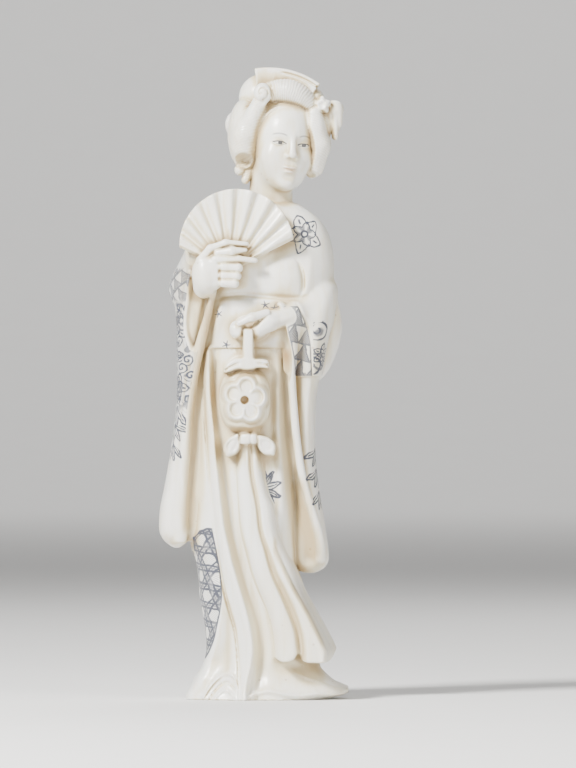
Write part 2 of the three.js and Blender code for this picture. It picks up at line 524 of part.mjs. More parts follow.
// Every part of the carving, with the box that holds it and the fillet that joins it to the rest.
const PARTS = [
  { body: robe, low: [-18, -14, -8], high: [18, 14, 100], fillet: 0.5 },
  { body: fanSleeve, low: [-23, -11.5, 29], high: [-5, 7.5, 94], fillet: 1.8 },
  { body: lanternSleeve, low: [0.5, -11.5, 24.5], high: [14.5, 7.5, 84.5], fillet: 2.2 },
  { body: sashKnot, low: [-18, 2, 42], high: [15.5, 13, 87], fillet: 0.6 },
  { body: ribbons, low: [-7.5, -14, 6.5], high: [14, 3.5, 54.5], fillet: 1 },
  { body: lantern, low: [-11, -15, 52], high: [0.5, -5, 69], fillet: 0.7 },
  { body: strapAndBow, low: [-9.5, -14, 45], high: [1.5, -6, 75], fillet: 0.4 },
  { body: fanBacking, low: [-19, -12, 79], high: [3.5, 4, 99], fillet: 1 },
  { body: fan, low: [-19, -12, 84.5], high: [5.5, -8, 102.5], fillet: 0.3 },
  { body: fanHand, low: [-17.5, -14, 79], high: [-2.5, -5.5, 91.5], fillet: 0.4 },
  { body: lanternHand, low: [-8.5, -13.5, 70], high: [5.5, -6.5, 78.5], fillet: 0.5 },
  { body: collar, low: [-6.5, -6, 93], high: [7, 7, 101], fillet: 0.4 },
  { body: head, low: [-9.5, -10.5, 89], high: [15.5, 11, 127], fillet: 0.5 },
];
const BELOW_SOLE = 1.1; // spare that the flat cut takes away

// The whole figure in drawn millimetres. A part is left out where its box is too far off to matter.
function figure(x, y, z) {
  let d = 1e3;
  for (const { body, low, high, fillet } of PARTS) {
    const dx = Math.max(low[0] - x, x - high[0], 0);
    const dy = Math.max(low[1] - y, y - high[1], 0);
    const dz = Math.max(low[2] - z, z - high[2], 0);
    const reach = Math.max(d, 0) + fillet;
    if (dx * dx + dy * dy + dz * dz < reach * reach) d = join(d, body(x, y, z), fillet);
  }
  return Math.max(d, -BELOW_SOLE - z);
}

// Bounds of the grid, in drawn millimetres. The grid starts below the sole, where the cut is made.
const LOW = [-24, -16, -2];
const HIGH = [18.5, 14.5, 128];

// Meshes the field on a grid of cells, one vertex to a cell. The field is sampled closely only near
// its surface. Where it would touch itself along an edge or at a corner, the gap is filled first.
const COARSE = 4;
const TOUCHING_CORNERS = [0b10000001, 0b01000010, 0b00100100, 0b00011000];

function sampleField(field, low, count, cell) {
  const [nx, ny, nz] = count;
  const value = new Float32Array(nx * ny * nz);
  const sample = (i, j, k) => field(low[0] + i * cell, low[1] + j * cell, low[2] + k * cell);
  const safe = COARSE * cell * 2.4;
  for (let k0 = 0; k0 < nz; k0 += COARSE) {
    for (let j0 = 0; j0 < ny; j0 += COARSE) {
      for (let i0 = 0; i0 < nx; i0 += COARSE) {
        const middle = sample(i0 + COARSE / 2, j0 + COARSE / 2, k0 + COARSE / 2);
        const near = Math.abs(middle) < safe;
        for (let k = k0; k < Math.min(k0 + COARSE, nz); k++) {
          for (let j = j0; j < Math.min(j0 + COARSE, ny); j++) {
            for (let i = i0; i < Math.min(i0 + COARSE, nx); i++) {
              value[i + nx * (j + ny * k)] = near ? sample(i, j, k) : middle;
            }
          }
        }
      }
    }
  }
  return value;
}

function meshField(field, low, high, cell) {
  const count = low.map((l, i) => Math.ceil((high[i] - l) / cell) + 1);
  const step = [1, count[0], count[0] * count[1]];
  const value = sampleField(field, low, count, cell);
  const reach = [0, 1, 2, 3, 4, 5, 6, 7].map((c) => (c & 1) * step[0] + ((c >> 1) & 1) * step[1] + (c >> 2) * step[2]);
  const insideOf = (at) => reach.reduce((bits, r, c) => bits | (value[at + r] < 0 ? 1 << c : 0), 0);
  const edges = [];
  for (let a = 0; a < 8; a++) for (const bit of [1, 2, 4]) if (!(a & bit)) edges.push([a, a | bit]);
  const sides = [[0, 1, 3, 2], [4, 5, 7, 6], [0, 1, 5, 4], [2, 3, 7, 6], [0, 2, 6, 4], [1, 3, 7, 5]];
  const eachCell = (visit) => {
    for (let k = 0; k < count[2] - 1; k++) {
      for (let j = 0; j < count[1] - 1; j++) {
        for (let i = 0; i < count[0] - 1; i++) visit(i + j * step[1] + k * step[2], i, j, k);
      }
    }
  };
  for (let filled = true; filled; ) {
    filled = false;
    eachCell((at) => {
      const inside = insideOf(at);
      if (inside === 0 || inside === 255) return;
      const bit = (c) => (inside >> c) & 1;
      const crossed = sides.find(([a, b, c, d]) => bit(a) === bit(c) && bit(b) === bit(d) && bit(a) !== bit(b));
      const touching = TOUCHING_CORNERS.some((pair) => inside === pair || (inside ^ 255) === pair);
      if (!crossed && !touching) return;
      const outside = (crossed || [0, 1, 2, 3, 4, 5, 6, 7]).find((c) => !bit(c));
      value[at + reach[outside]] = -0.02 * cell;
      filled = true;
    });
  }
  const positions = [];
  const vertexAt = new Int32Array(value.length);
  eachCell((at, i, j, k) => {
    const inside = insideOf(at);
    if (inside === 0 || inside === 255) return;
    const sum = [0, 0, 0];
    let crossings = 0;
    for (const [a, b] of edges) {
      if (((inside >> a) & 1) === ((inside >> b) & 1)) continue;
      const t = value[at + reach[a]] / (value[at + reach[a]] - value[at + reach[b]]);
      for (let axis = 0; axis < 3; axis++) sum[axis] += mix((a >> axis) & 1, (b >> axis) & 1, t);
      crossings++;
    }
    vertexAt[at] = positions.length / 3;
    [i, j, k].forEach((c, axis) => positions.push(low[axis] + (c + sum[axis] / crossings) * cell));
  });
  const faces = [];
  for (let axis = 0; axis < 3; axis++) {
    const one = step[(axis + 1) % 3];
    const two = step[(axis + 2) % 3];
    eachCell((at, i, j, k) => {
      const starts = value[at] < 0;
      if (starts === value[at + step[axis]] < 0 || [i, j, k][(axis + 1) % 3] === 0 || [i, j, k][(axis + 2) % 3] === 0) return;
      const ring = [vertexAt[at], vertexAt[at - one], vertexAt[at - one - two], vertexAt[at - two]];
      if (!starts) ring.reverse();
      faces.push([ring[0], ring[1], ring[2]], [ring[0], ring[2], ring[3]]);
    });
  }
  return { positions, faces };
}

// Thins a closed mesh: the edge whose loss changes the surface least is folded away, again and again.
// Flat cloth gives up its triangles first. The face and the hands count for more than the cloth.
const FINE_SPOTS = [
  { centre: [3, -7, 109], radius: 10, weight: 7 },
  { centre: [-10, -12, 85], radius: 7, weight: 3 },
  { centre: [-2, -12, 75], radius: 6, weight: 3 },
  { centre: [-5, -13, 60], radius: 6, weight: 5 },
];

function careAt(x, y, z) {
  let care = 1;
  for (const { centre, radius, weight } of FINE_SPOTS) {
    const off = Math.hypot(x / SCALE - centre[0], y / SCALE - centre[1], z / SCALE - centre[2]);
    care = Math.max(care, mix(weight, 1, ease(off / radius - 0.5)));
  }
  return care;
}

function thin({ positions, faces }, target) {
  const at = Float64Array.from(positions);
  const corners = Int32Array.from(faces.flat());
  const gone = new Uint8Array(faces.length);
  const facesOf = Array.from({ length: at.length / 3 }, () => []);
  const quadric = new Float64Array(facesOf.length * 10);
  const stamp = new Int32Array(facesOf.length);
  const seen = new Int32Array(facesOf.length);
  const normal = [0, 0, 0];
  let tick = 0;

  const setNormal = (f) => {
    const [p, q, r] = [3 * corners[3 * f], 3 * corners[3 * f + 1], 3 * corners[3 * f + 2]];
    const ux = at[q] - at[p];
    const uy = at[q + 1] - at[p + 1];
    const uz = at[q + 2] - at[p + 2];
    const vx = at[r] - at[p];
    const vy = at[r + 1] - at[p + 1];
    const vz = at[r + 2] - at[p + 2];
    normal[0] = uy * vz - uz * vy;
    normal[1] = uz * vx - ux * vz;
    normal[2] = ux * vy - uy * vx;
  };
  for (let f = 0; f < faces.length; f++) {
    setNormal(f);
    const size = Math.hypot(...normal) + 1e-12;
    const [a, b, c] = normal.map((n) => n / size);
    const p = 3 * corners[3 * f];
    const d = -(a * at[p] + b * at[p + 1] + c * at[p + 2]);
    const weight = size * careAt(at[p], at[p + 1], at[p + 2]);
    const terms = [a * a, a * b, a * c, a * d, b * b, b * c, b * d, c * c, c * d, d * d];
    for (let k = 0; k < 3; k++) {
      const v = corners[3 * f + k];
      facesOf[v].push(f);
      for (let i = 0; i < 10; i++) quadric[10 * v + i] += terms[i] * weight;
    }
  }
  const ringOf = (v) => {
    const ring = [];
    tick++;
    for (const f of facesOf[v]) {
      for (let k = 3 * f; k < 3 * f + 3; k++) {
        const u = corners[k];
        if (u === v || seen[u] === tick) continue;
        seen[u] = tick;
        ring.push(u);
      }
    }
    return ring;
  };

  // A heap of the edges, the cheapest one first.
  const heap = [];
  const push = (edge) => {
    let n = heap.length;
    heap.push(edge);
    while (n > 0) {
      const parent = (n - 1) >> 1;
      if (heap[parent].cost <= edge.cost) break;
      heap[n] = heap[parent];
      n = parent;
    }
    heap[n] = edge;
  };
  const pop = () => {
    const first = heap[0];
    const edge = heap.pop();
    let n = 0;
    while (heap.length) {
      let child = 2 * n + 1;
      if (child + 1 < heap.length && heap[child + 1].cost < heap[child].cost) child++;
      if (child >= heap.length || heap[child].cost >= edge.cost) break;
      heap[n] = heap[child];
      n = child;
    }
    if (heap.length) heap[n] = edge;
    return first;
  };
  const q = new Float64Array(10);
  const offer = (a, b) => {
    for (let i = 0; i < 10; i++) q[i] = quadric[10 * a + i] + quadric[10 * b + i];
    let x = (at[3 * a] + at[3 * b]) / 2;
    let y = (at[3 * a + 1] + at[3 * b + 1]) / 2;
    let z = (at[3 * a + 2] + at[3 * b + 2]) / 2;
    const long = Math.hypot(at[3 * a] - at[3 * b], at[3 * a + 1] - at[3 * b + 1], at[3 * a + 2] - at[3 * b + 2]);
    const m0 = q[4] * q[7] - q[5] * q[5];
    const m1 = q[2] * q[5] - q[1] * q[7];
    const m2 = q[1] * q[5] - q[2] * q[4];
    const det = q[0] * m0 + q[1] * m1 + q[2] * m2;
    if (Math.abs(det) > 1e-4 * (q[0] + q[4] + q[7]) ** 3) {
      const m3 = q[0] * q[7] - q[2] * q[2];
      const m4 = q[1] * q[2] - q[0] * q[5];
      const m5 = q[0] * q[4] - q[1] * q[1];
      const bx = -(m0 * q[3] + m1 * q[6] + m2 * q[8]) / det;
      const by = -(m1 * q[3] + m3 * q[6] + m4 * q[8]) / det;
      const bz = -(m2 * q[3] + m4 * q[6] + m5 * q[8]) / det;
      if (Math.hypot(bx - x, by - y, bz - z) < 1.5 * long) [x, y, z] = [bx, by, bz];
    }
    const level = q[0] * x * x + q[4] * y * y + q[7] * z * z + q[9];
    const cross = q[1] * x * y + q[2] * x * z + q[5] * y * z + q[3] * x + q[6] * y + q[8] * z;
    push({ cost: level + 2 * cross + 1e-5 * long * long, a, b, x, y, z, stamps: stamp[a] + stamp[b] });
  };
  const turnsOver = (v, other, { x, y, z }) => {
    const saved = [at[3 * v], at[3 * v + 1], at[3 * v + 2]];
    for (const f of facesOf[v]) {
      if (corners[3 * f] === other || corners[3 * f + 1] === other || corners[3 * f + 2] === other) continue;
      setNormal(f);
      const [nx, ny, nz] = normal;
      at.set([x, y, z], 3 * v);
      setNormal(f);
      at.set(saved, 3 * v);
      const dot = nx * normal[0] + ny * normal[1] + nz * normal[2];
      if (dot <= 0.3 * Math.hypot(nx, ny, nz) * Math.hypot(...normal)) return true;
    }
    return false;
  };
  for (let v = 0; v < facesOf.length; v++) for (const u of ringOf(v)) if (u > v) offer(v, u);
  let left = faces.length;
  while (left > target && heap.length) {
    const edge = pop();
    const { a, b } = edge;
    if (!facesOf[a].length || !facesOf[b].length || edge.stamps !== stamp[a] + stamp[b]) continue;
    ringOf(a);
    if (seen[b] !== tick) continue;
    const around = tick;
    let shared = 0;
    const counted = new Set();
    for (const f of facesOf[b]) {
      for (let k = 3 * f; k < 3 * f + 3; k++) if (seen[corners[k]] === around) counted.add(corners[k]);
    }
    counted.delete(b);
    shared = counted.size;
    if (shared !== 2 || turnsOver(a, b, edge) || turnsOver(b, a, edge)) continue;
    for (const f of facesOf[b]) {
      const slot = [0, 1, 2].find((k) => corners[3 * f + k] === b);
      if (corners[3 * f] === a || corners[3 * f + 1] === a || corners[3 * f + 2] === a) {
        gone[f] = 1;
        left--;
      } else {
        corners[3 * f + slot] = a;
        facesOf[a].push(f);
      }
    }
    facesOf[b] = [];
    at.set([edge.x, edge.y, edge.z], 3 * a);
    for (let i = 0; i < 10; i++) quadric[10 * a + i] += quadric[10 * b + i];
    facesOf[a] = facesOf[a].filter((f) => !gone[f]);
    const ring = ringOf(a);
    for (const v of ring) facesOf[v] = facesOf[v].filter((f) => !gone[f]);
    stamp[a] += 1;
    for (const v of ring) offer(a, v);
  }
  const kept = faces.map((_, f) => [corners[3 * f], corners[3 * f + 1], corners[3 * f + 2]]);
  return { positions: Array.from(at), faces: kept.filter((_, f) => !gone[f]) };
}

function toSolid(wasm, { positions, faces }) {
  const used = new Map();
  const kept = [];
  const triVerts = faces.flat().map((v) => {
    if (!used.has(v)) {
      used.set(v, kept.length / 3);
      kept.push(...positions.slice(3 * v, 3 * v + 3));
    }
    return used.get(v);
  });
  return new wasm.Manifold(
    new wasm.Mesh({ numProp: 3, vertProperties: new Float32Array(kept), triVerts: new Uint32Array(triVerts) }),
  );
}

// Everything below the sole is cut away, which leaves one flat face to stand on.
function cutSole(wasm, solid) {
  const deep = 10 * SCALE;
  const slab = new THREE.BoxGeometry(3 * HEM_WIDTH, 3 * HEM_WIDTH, deep).translate(0, 0, -deep / 2).toNonIndexed();
  const corners = slab.getAttribute("position");
  const merged = new Map();
  const vertices = [];
  const triVerts = [];
  for (let n = 0; n < corners.count; n++) {
    const place = [corners.getX(n), corners.getY(n), corners.getZ(n)];
    const key = place.join();
    if (!merged.has(key)) {
      merged.set(key, vertices.length / 3);
      vertices.push(...place);
    }
    triVerts.push(merged.get(key));
  }
  const block = new wasm.Manifold(
    new wasm.Mesh({ numProp: 3, vertProperties: new Float32Array(vertices), triVerts: new Uint32Array(triVerts) }),
  );
  return solid.subtract(block);
}

function toGeometry(solid) {
  const mesh = solid.getMesh();
  const geometry = new THREE.BufferGeometry();
  geometry.setAttribute("position", new THREE.BufferAttribute(new Float32Array(mesh.vertProperties), 3));
  geometry.setIndex(new THREE.BufferAttribute(new Uint32Array(mesh.triVerts), 1));
  // The origin lies on the sole, under the middle of the box round the figure.
  geometry.computeBoundingBox();
  const middle = geometry.boundingBox.getCenter(new THREE.Vector3());
  geometry.translate(-middle.x, -middle.y, 0);
  geometry.computeVertexNormals();
  return geometry;
}

const wasm = await Module();
wasm.setup();

const realField = (x, y, z) => SCALE * figure(x / SCALE, y / SCALE, z / SCALE);
const carved = meshField(realField, LOW.map((v) => v * SCALE), HIGH.map((v) => v * SCALE), CELL);
const solid = cutSole(wasm, toSolid(wasm, thin(carved, FACETS)));

const ivory = new THREE.MeshStandardMaterial({ color: 0xefe8d8, roughness: 0.35, metalness: 0 });
const carving = new THREE.Mesh(toGeometry(solid), ivory);
carving.name = "carved_figure";

const okimono = new THREE.Group();
okimono.name = "okimono";
okimono.add(carving);

export default okimono;
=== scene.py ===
"""Carved figure with a fan and a lantern: fine carving, ivory, inked patterns, and a plain studio."""

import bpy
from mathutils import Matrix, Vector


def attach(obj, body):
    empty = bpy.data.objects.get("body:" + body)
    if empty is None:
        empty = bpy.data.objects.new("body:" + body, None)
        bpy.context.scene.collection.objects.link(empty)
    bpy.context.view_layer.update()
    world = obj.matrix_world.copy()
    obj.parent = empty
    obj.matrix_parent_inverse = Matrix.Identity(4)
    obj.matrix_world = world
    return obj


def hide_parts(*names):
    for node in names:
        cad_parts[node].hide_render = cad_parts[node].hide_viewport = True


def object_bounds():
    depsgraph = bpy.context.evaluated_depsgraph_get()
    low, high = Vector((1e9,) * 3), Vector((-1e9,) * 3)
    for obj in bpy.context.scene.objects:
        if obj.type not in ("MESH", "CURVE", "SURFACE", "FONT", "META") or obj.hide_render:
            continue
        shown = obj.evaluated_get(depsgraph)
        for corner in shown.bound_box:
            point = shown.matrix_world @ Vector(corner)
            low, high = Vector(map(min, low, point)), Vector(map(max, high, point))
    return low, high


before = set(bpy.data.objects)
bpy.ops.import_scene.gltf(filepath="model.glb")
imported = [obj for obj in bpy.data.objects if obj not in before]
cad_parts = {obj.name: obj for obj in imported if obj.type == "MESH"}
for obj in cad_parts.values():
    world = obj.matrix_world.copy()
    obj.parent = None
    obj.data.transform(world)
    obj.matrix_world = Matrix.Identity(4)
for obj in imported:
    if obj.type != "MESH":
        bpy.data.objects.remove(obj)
CAD_BOX = [list(corner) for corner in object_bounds()]

import logging
import math
from dataclasses import dataclass, field
from enum import Enum
from functools import reduce
from typing import Callable, Sequence

import bpy
import numpy as np
from bpy.types import GeometryNodeTree, ID, Material, Mesh, Node, NodeSocket, NodeTree, Object, ShaderNodeTree
from mathutils import Euler, Matrix, Vector

LOG = logging.getLogger("figure")
MILLIMETRE = 0.001
TINY = 1e-9  # keeps a division off zero
DRAWN_TO_MODEL = (3.248173, 0.918456, 0.0)  # the carving is drawn off the model's origin by this
NODE = "carved_figure"
BODY = "root"
SKIRT = (9.8, 13.8, 17.8, 21.8, 25.8, 29.8, 33.8)  # levels at which the skirt's folds were drawn
INSET = 0.002  # how far the carving stays inside the CAD piece's box, in millimetres
OFF_FACE = 20.0  # stands in the face's place wherever there is no face
EYE_ACROSS, EYE_HALF, LID_LEVEL = 2.5, 1.3, 0.42  # the eye in the face's own frame
AIM = (0.00685, 0.0, 0.0629)  # the point the camera and most lights look at, in metres
STRAND_PITCH = 0.52  # from one strand of the hair to the next, in millimetres

Array = np.ndarray
Point = Sequence[float]
Places = tuple[Array, Array, Array]  # across, from front to back, and up


def clamp(t: Array) -> Array:
    """Holds a share between 0 and 1."""
    return np.clip(t, 0.0, 1.0)


def ease(t: Array) -> Array:
    """Rises smoothly from 0 to 1 while the share goes from 0 to 1."""
    t = clamp(t)
    return t * t * (3.0 - 2.0 * t)


def mix(a: float | Array, b: float | Array, t: float | Array) -> float | Array:
    """Goes from a to b by the share t."""
    return a + (b - a) * t


def bump(t: Array) -> Array:
    """A smooth hump of height 1 and half width about 1."""
    return np.exp(-t * t)


def join(a: Array, b: Array, fillet: float) -> Array:
    """Joins two bodies' distances with a fillet of about that size."""
    h = np.maximum(fillet - np.abs(a - b), 0.0) / fillet
    return np.minimum(a, b) - h * h * (fillet / 4.0)


def both(a: Array, b: Array, fillet: float) -> Array:
    """Keeps what two bodies share."""
    return -join(-a, -b, fillet)


def cut(a: Array, b: Array, fillet: float) -> Array:
    """Takes the second body out of the first."""
    return both(a, -b, fillet)


class Line:
    """A smooth line through values at some places, held level past its ends."""

    SAMPLES = 500

    def __init__(self, places: Sequence[float], values: Sequence[float]) -> None:
        """Tabulates the line.

        Args:
            places: where the line is given, in rising order.
            values: its value at each place.
        """
        at, value = np.array(places, float), np.array(values, float)
        last = len(at) - 1
        before = np.maximum(np.arange(last + 1) - 1, 0)
        after = np.minimum(np.arange(last + 1) + 1, last)
        slope = (value[after] - value[before]) / (at[after] - at[before])
        self.places = np.linspace(at[0], at[-1], self.SAMPLES)
        i = np.clip(np.searchsorted(at, self.places, side="right") - 1, 0, last - 1)
        gap = at[i + 1] - at[i]
        t = (self.places - at[i]) / gap
        bend = gap * t * (1 - t) * ((1 - t) * slope[i] - t * slope[i + 1])
        self.values = mix(value[i], value[i + 1], ease(t)) + bend

    def __call__(self, place: Array) -> Array:
        """The line's value at each place."""
        return np.interp(place, self.places, self.values)


def ellipsoid(at: Places, centre: Point, radii: Point) -> Array:
    """Distance to an ellipsoid.

    Args:
        at: places in drawn millimetres.
        centre: the middle.
        radii: the three half sizes.

    Returns:
        The distance.
    """
    x, y, z = at
    a, b, c = (x - centre[0]) / radii[0], (y - centre[1]) / radii[1], (z - centre[2]) / radii[2]
    near = np.sqrt(a * a + b * b + c * c) + TINY
    steep = np.sqrt((a / radii[0]) ** 2 + (b / radii[1]) ** 2 + (c / radii[2]) ** 2) + TINY
    return near * (near - 1.0) / steep


def limb(at: Places, start: Point, end: Point, first: float, second: float) -> Array:
    """Distance to a round limb that tapers between two points.

    Args:
        at: places in drawn millimetres.
        start: one end of the limb's middle line.
        end: the other end.
        first: the radius at the start.
        second: the radius at the end.

    Returns:
        The distance.
    """
    x, y, z = at
    dx, dy, dz = end[0] - start[0], end[1] - start[1], end[2] - start[2]
    span = dx * dx + dy * dy + dz * dz
    t = clamp(((x - start[0]) * dx + (y - start[1]) * dy + (z - start[2]) * dz) / span)
    ex, ey, ez = x - start[0] - dx * t, y - start[1] - dy * t, z - start[2] - dz * t
    return np.sqrt(ex * ex + ey * ey + ez * ez) - mix(first, second, t)


def form(at: Places, *sizes: float | Point) -> Array:
    """Distance to an ellipsoid where two sizes are given, or else to a limb."""
    return (ellipsoid if len(sizes) == 2 else limb)(at, *sizes)


def grow(at: Places, body: Array | tuple, *steps: tuple) -> Array:
    """Adds forms to a body one after another.

    Args:
        at: places in drawn millimetres.
        body: the body's distance, or the sizes of its first form.
        steps: for each form its fillet, which is below zero where the form is cut out, and its sizes.

    Returns:
        The distance.
    """
    d = form(at, *body) if isinstance(body, tuple) else body
    for fillet, *sizes in steps:
        d = join(d, form(at, *sizes), fillet) if fillet > 0 else cut(d, form(at, *sizes), -fillet)
    return d


@dataclass(frozen=True)
class Loft:
    """An upright body whose level sections are rounded rectangles between four side lines."""

    left: Line
    right: Line
    front: Line
    back: Line
    roundness: float
    low: float
    high: float
    lip: float

    def distance(self, at: Places) -> Array:
        """Distance to the body."""
        x, y, z = at
        left, right, front, back = self.left(z), self.right(z), self.front(z), self.back(z)
        wide = np.maximum((right - left) / 2, 0.2)
        deep = np.maximum((back - front) / 2, 0.2)
        a = np.abs(x - (right + left) / 2) / wide
        b = np.abs(y - (back + front) / 2) / deep
        power_a, power_b = a ** (self.roundness - 1), b ** (self.roundness - 1)
        total = power_a * a + power_b * b + TINY
        near = total ** (1 / self.roundness)
        lean = near / total
        steep = np.hypot(power_a * lean / wide, power_b * lean / deep)
        side = (near - 1) / np.maximum(steep, 1 / (wide + deep))
        return both(side, np.maximum(self.low - z, z - self.high), self.lip)


@dataclass(frozen=True)
class Roll:
    """A roll of cloth that climbs round a line which gives x and y at each level."""

    at_x: Line
    at_y: Line
    radius: Line
    low: float
    high: float

    def distance(self, at: Places) -> Array:
        """Distance to the roll."""
        x, y, z = at
        across = np.hypot(x - self.at_x(z), y - self.at_y(z)) - self.radius(z)
        return both(across, np.maximum(self.low - z, z - self.high), 1.0)


class Run(Enum):
    """Which way a fold runs over the robe's front."""

    DOWN = "down"
    ACROSS = "across"


@dataclass(frozen=True)
class Fold:
    """One carved fold: a ridge where it is high, a valley where it is below zero."""

    run: Run
    path: Line
    low_side: float
    high_side: float
    height: float
    start: float
    end: float
    fade: float

    def relief(self, x: Array, z: Array) -> Array:
        """How far the fold stands out of the cloth."""
        along, off = (z, x - self.path(z)) if self.run is Run.DOWN else (x, z - self.path(x))
        wide = np.where(off < 0, self.low_side, self.high_side)
        ends = ease((along - self.start) / self.fade) * ease((self.end - along) / self.fade)
        return self.height * bump(off / wide) * ends


@dataclass(frozen=True)
class CarvedPart:
    """One form of the carving, with the box that holds it and the fillet that joins it to the rest."""

    low: Point
    high: Point
    fillet: float

    def distance(self, at: Places) -> Array:
        """Distance to the form.

        Args:
            at: places in drawn millimetres.

        Returns:
            The distance, below zero inside.
        """
        raise NotImplementedError


@dataclass(frozen=True)
class Swell:
    """A soft round rise of the cloth, or a dip where it is below zero."""

    x: float
    z: float
    wide: float
    tall: float
    height: float

    def relief(self, x: Array, z: Array) -> Array:
        """How far the rise stands out of the cloth."""
        return self.height * np.exp(-((x - self.x) / self.wide) ** 2 - ((z - self.z) / self.tall) ** 2)


DOWN, ACROSS = Run.DOWN, Run.ACROSS
FOLDS = (
    # The large fold that sweeps from the sash to the hem, steep on its right, and the valley beside it.
    Fold(DOWN, Line((1, 3.8, 6.6, *SKIRT, 37.8, 45.4, 52, 61, 70), (-5.0, -4.6, -4.0, -3.6, -4, -4.9, -6.1, -7.3, -8.3,
        -9.2, -9.8, -10.6, -11.2, -12, -12.3)), 1.9, 0.6, 2.0, -8, 71.4, 2.5),
    Fold(DOWN, Line((3.8, 6.6, *SKIRT, 37.8, 45, 60), (-2.4, -1.9, -1.6, -1.9, -2.9, -4.2, -5.4, -6.4, -7.4, -8, -9,
        -10.2)), 0.8, 1.5, -1.1, -8, 60, 14),
    # The fine groove on the large fold's left, from the sash to the sole.
    Fold(DOWN, Line((0.2, 7.1, 13.7, 17.8, 21.1, 25.8, 33.8, 45.4, 52, 61), (-6.0, -6.2, -6.9, -8.0, -8.9, -9.8, -10.9,
        -12.1, -12.6, -13.3)), 0.4, 0.35, -0.75, -6, 66, 4),
    # The hem's left corner: its ridge and the soft hollow beside it.
    Fold(DOWN, Line((0.8, 4, 7.8, 9.8, 12.2, 15.4, 17.8, 24), (-16.4, -14.2, -12.4, -11.5, -10.8, -10.2, -9.8, -9.9)),
        1.0, 1.8, 0.9, -8, 27, 8),
    Fold(DOWN, Line((3, 5.8, 9.8, 13.8, 18), (-10.6, -9.6, -8.4, -8.0, -8.9)), 2.0, 1.6, -0.75, -1, 24, 8),
    # The nested folds in the hem's left corner.
    Fold(ACROSS, Line((-13.2, -11.6, -10, -8.6, -7.2, -6.4), (0.6, 3.0, 4.6, 5.2, 4.6, 2.6)), 0.4, 0.6, 0.6, -14, -6.0,
        1.4),
    Fold(ACROSS, Line((-12.2, -10.6, -9.4, -8.2, -7.0), (0, 2.2, 3.2, 3.4, 2.2)), 0.3, 0.35, -0.5, -12.6, -6.4, 1),
    Fold(ACROSS, Line((-11.2, -9.9, -8.6, -7.2), (0, 1.5, 2.0, 0.9)), 0.35, 0.35, 0.4, -11.6, -6.6, 1),
    # The raised lip of the hem, the hollow above it and the edge that runs out to the tip.
    Fold(ACROSS, Line((-5.4, -3, -0.4, 3, 6, 9.6, 12, 15.2), (0.3, 1.2, 1.9, 1.3, 0.9, 1.3, 1.0, 1.2)), 0.6, 0.45,
        0.85, -5.5, 16, 2.0),
    Fold(ACROSS, Line((-2.4, 0.8, 4, 7.2, 9.6, 12), (4.2, 4.6, 4.2, 3.7, 3.3, 2.6)), 1.8, 1.6, -0.55, -3.6, 14, 4),
    Fold(ACROSS, Line((3, 5.6, 8, 12, 16), (6.6, 5.2, 4.2, 3, 1.8)), 0.4, 0.6, 0.3, 2.5, 17, 3),
    # The robe's edge beside the strip next to the fan's sleeve.
    Fold(DOWN, Line((40, 44.4, 50, 57.1, 66, 71.8, 79), (-15.2, -14.9, -14.5, -13.9, -12.7, -11.7, -9.8)), 0.45, 1.3,
        0.7, 38, 80, 3),
    # The upper skirt, below the sash: the hollow towards the sleeve and two soft pleats.
    Fold(DOWN, Line((30, 36.6, 45.4, 54.2, 63), (5.9, 5, 4.2, 3.5, 3.3)), 1.5, 1.2, -1.1, 24, 72, 8),
    Fold(DOWN, Line((34, 54, 66), (3, 1.8, 1.9)), 0.8, 0.9, 0.5, 36, 70, 8),
    Fold(DOWN, Line((34, 54, 66), (1.2, 0.3, 0.4)), 0.8, 0.8, -0.5, 34, 69, 8),
    # The crease in the bent elbow.
    Fold(ACROSS, Line((6, 8.5, 11), (79.8, 80, 79.2)), 0.4, 0.5, -0.8, 5.8, 11.4, 1.5),
    # The chest: the crease under the bust and the one at the upper arm.
    Fold(ACROSS, Line((-12, -6, -1, 4.9, 10.3), (80, 80.7, 80.3, 79.6, 79)), 0.5, 0.7, -0.5, -12, 12.0, 2.5),
    Fold(DOWN, Line((79.6, 81.1, 84, 86.6, 88), (5.4, 6.4, 6.6, 6.0, 5.2)), 0.45, 0.4, -0.6, 79.4, 89, 3.5),
    Fold(DOWN, Line((79.6, 84, 88), (7.0, 7.8, 8.0)), 0.8, 1.3, 0.3, 78.5, 91, 4),
)
SWELLS = (
    Swell(3.2, 84.2, 3.4, 3.2, 1.1),
    Swell(-5.0, 84.6, 4.5, 3.4, 0.7),
    Swell(3.6, 6.4, 3.4, 1.2, -0.7),
    Swell(-1.5, 75.0, 8.0, 3.4, 0.35),
)


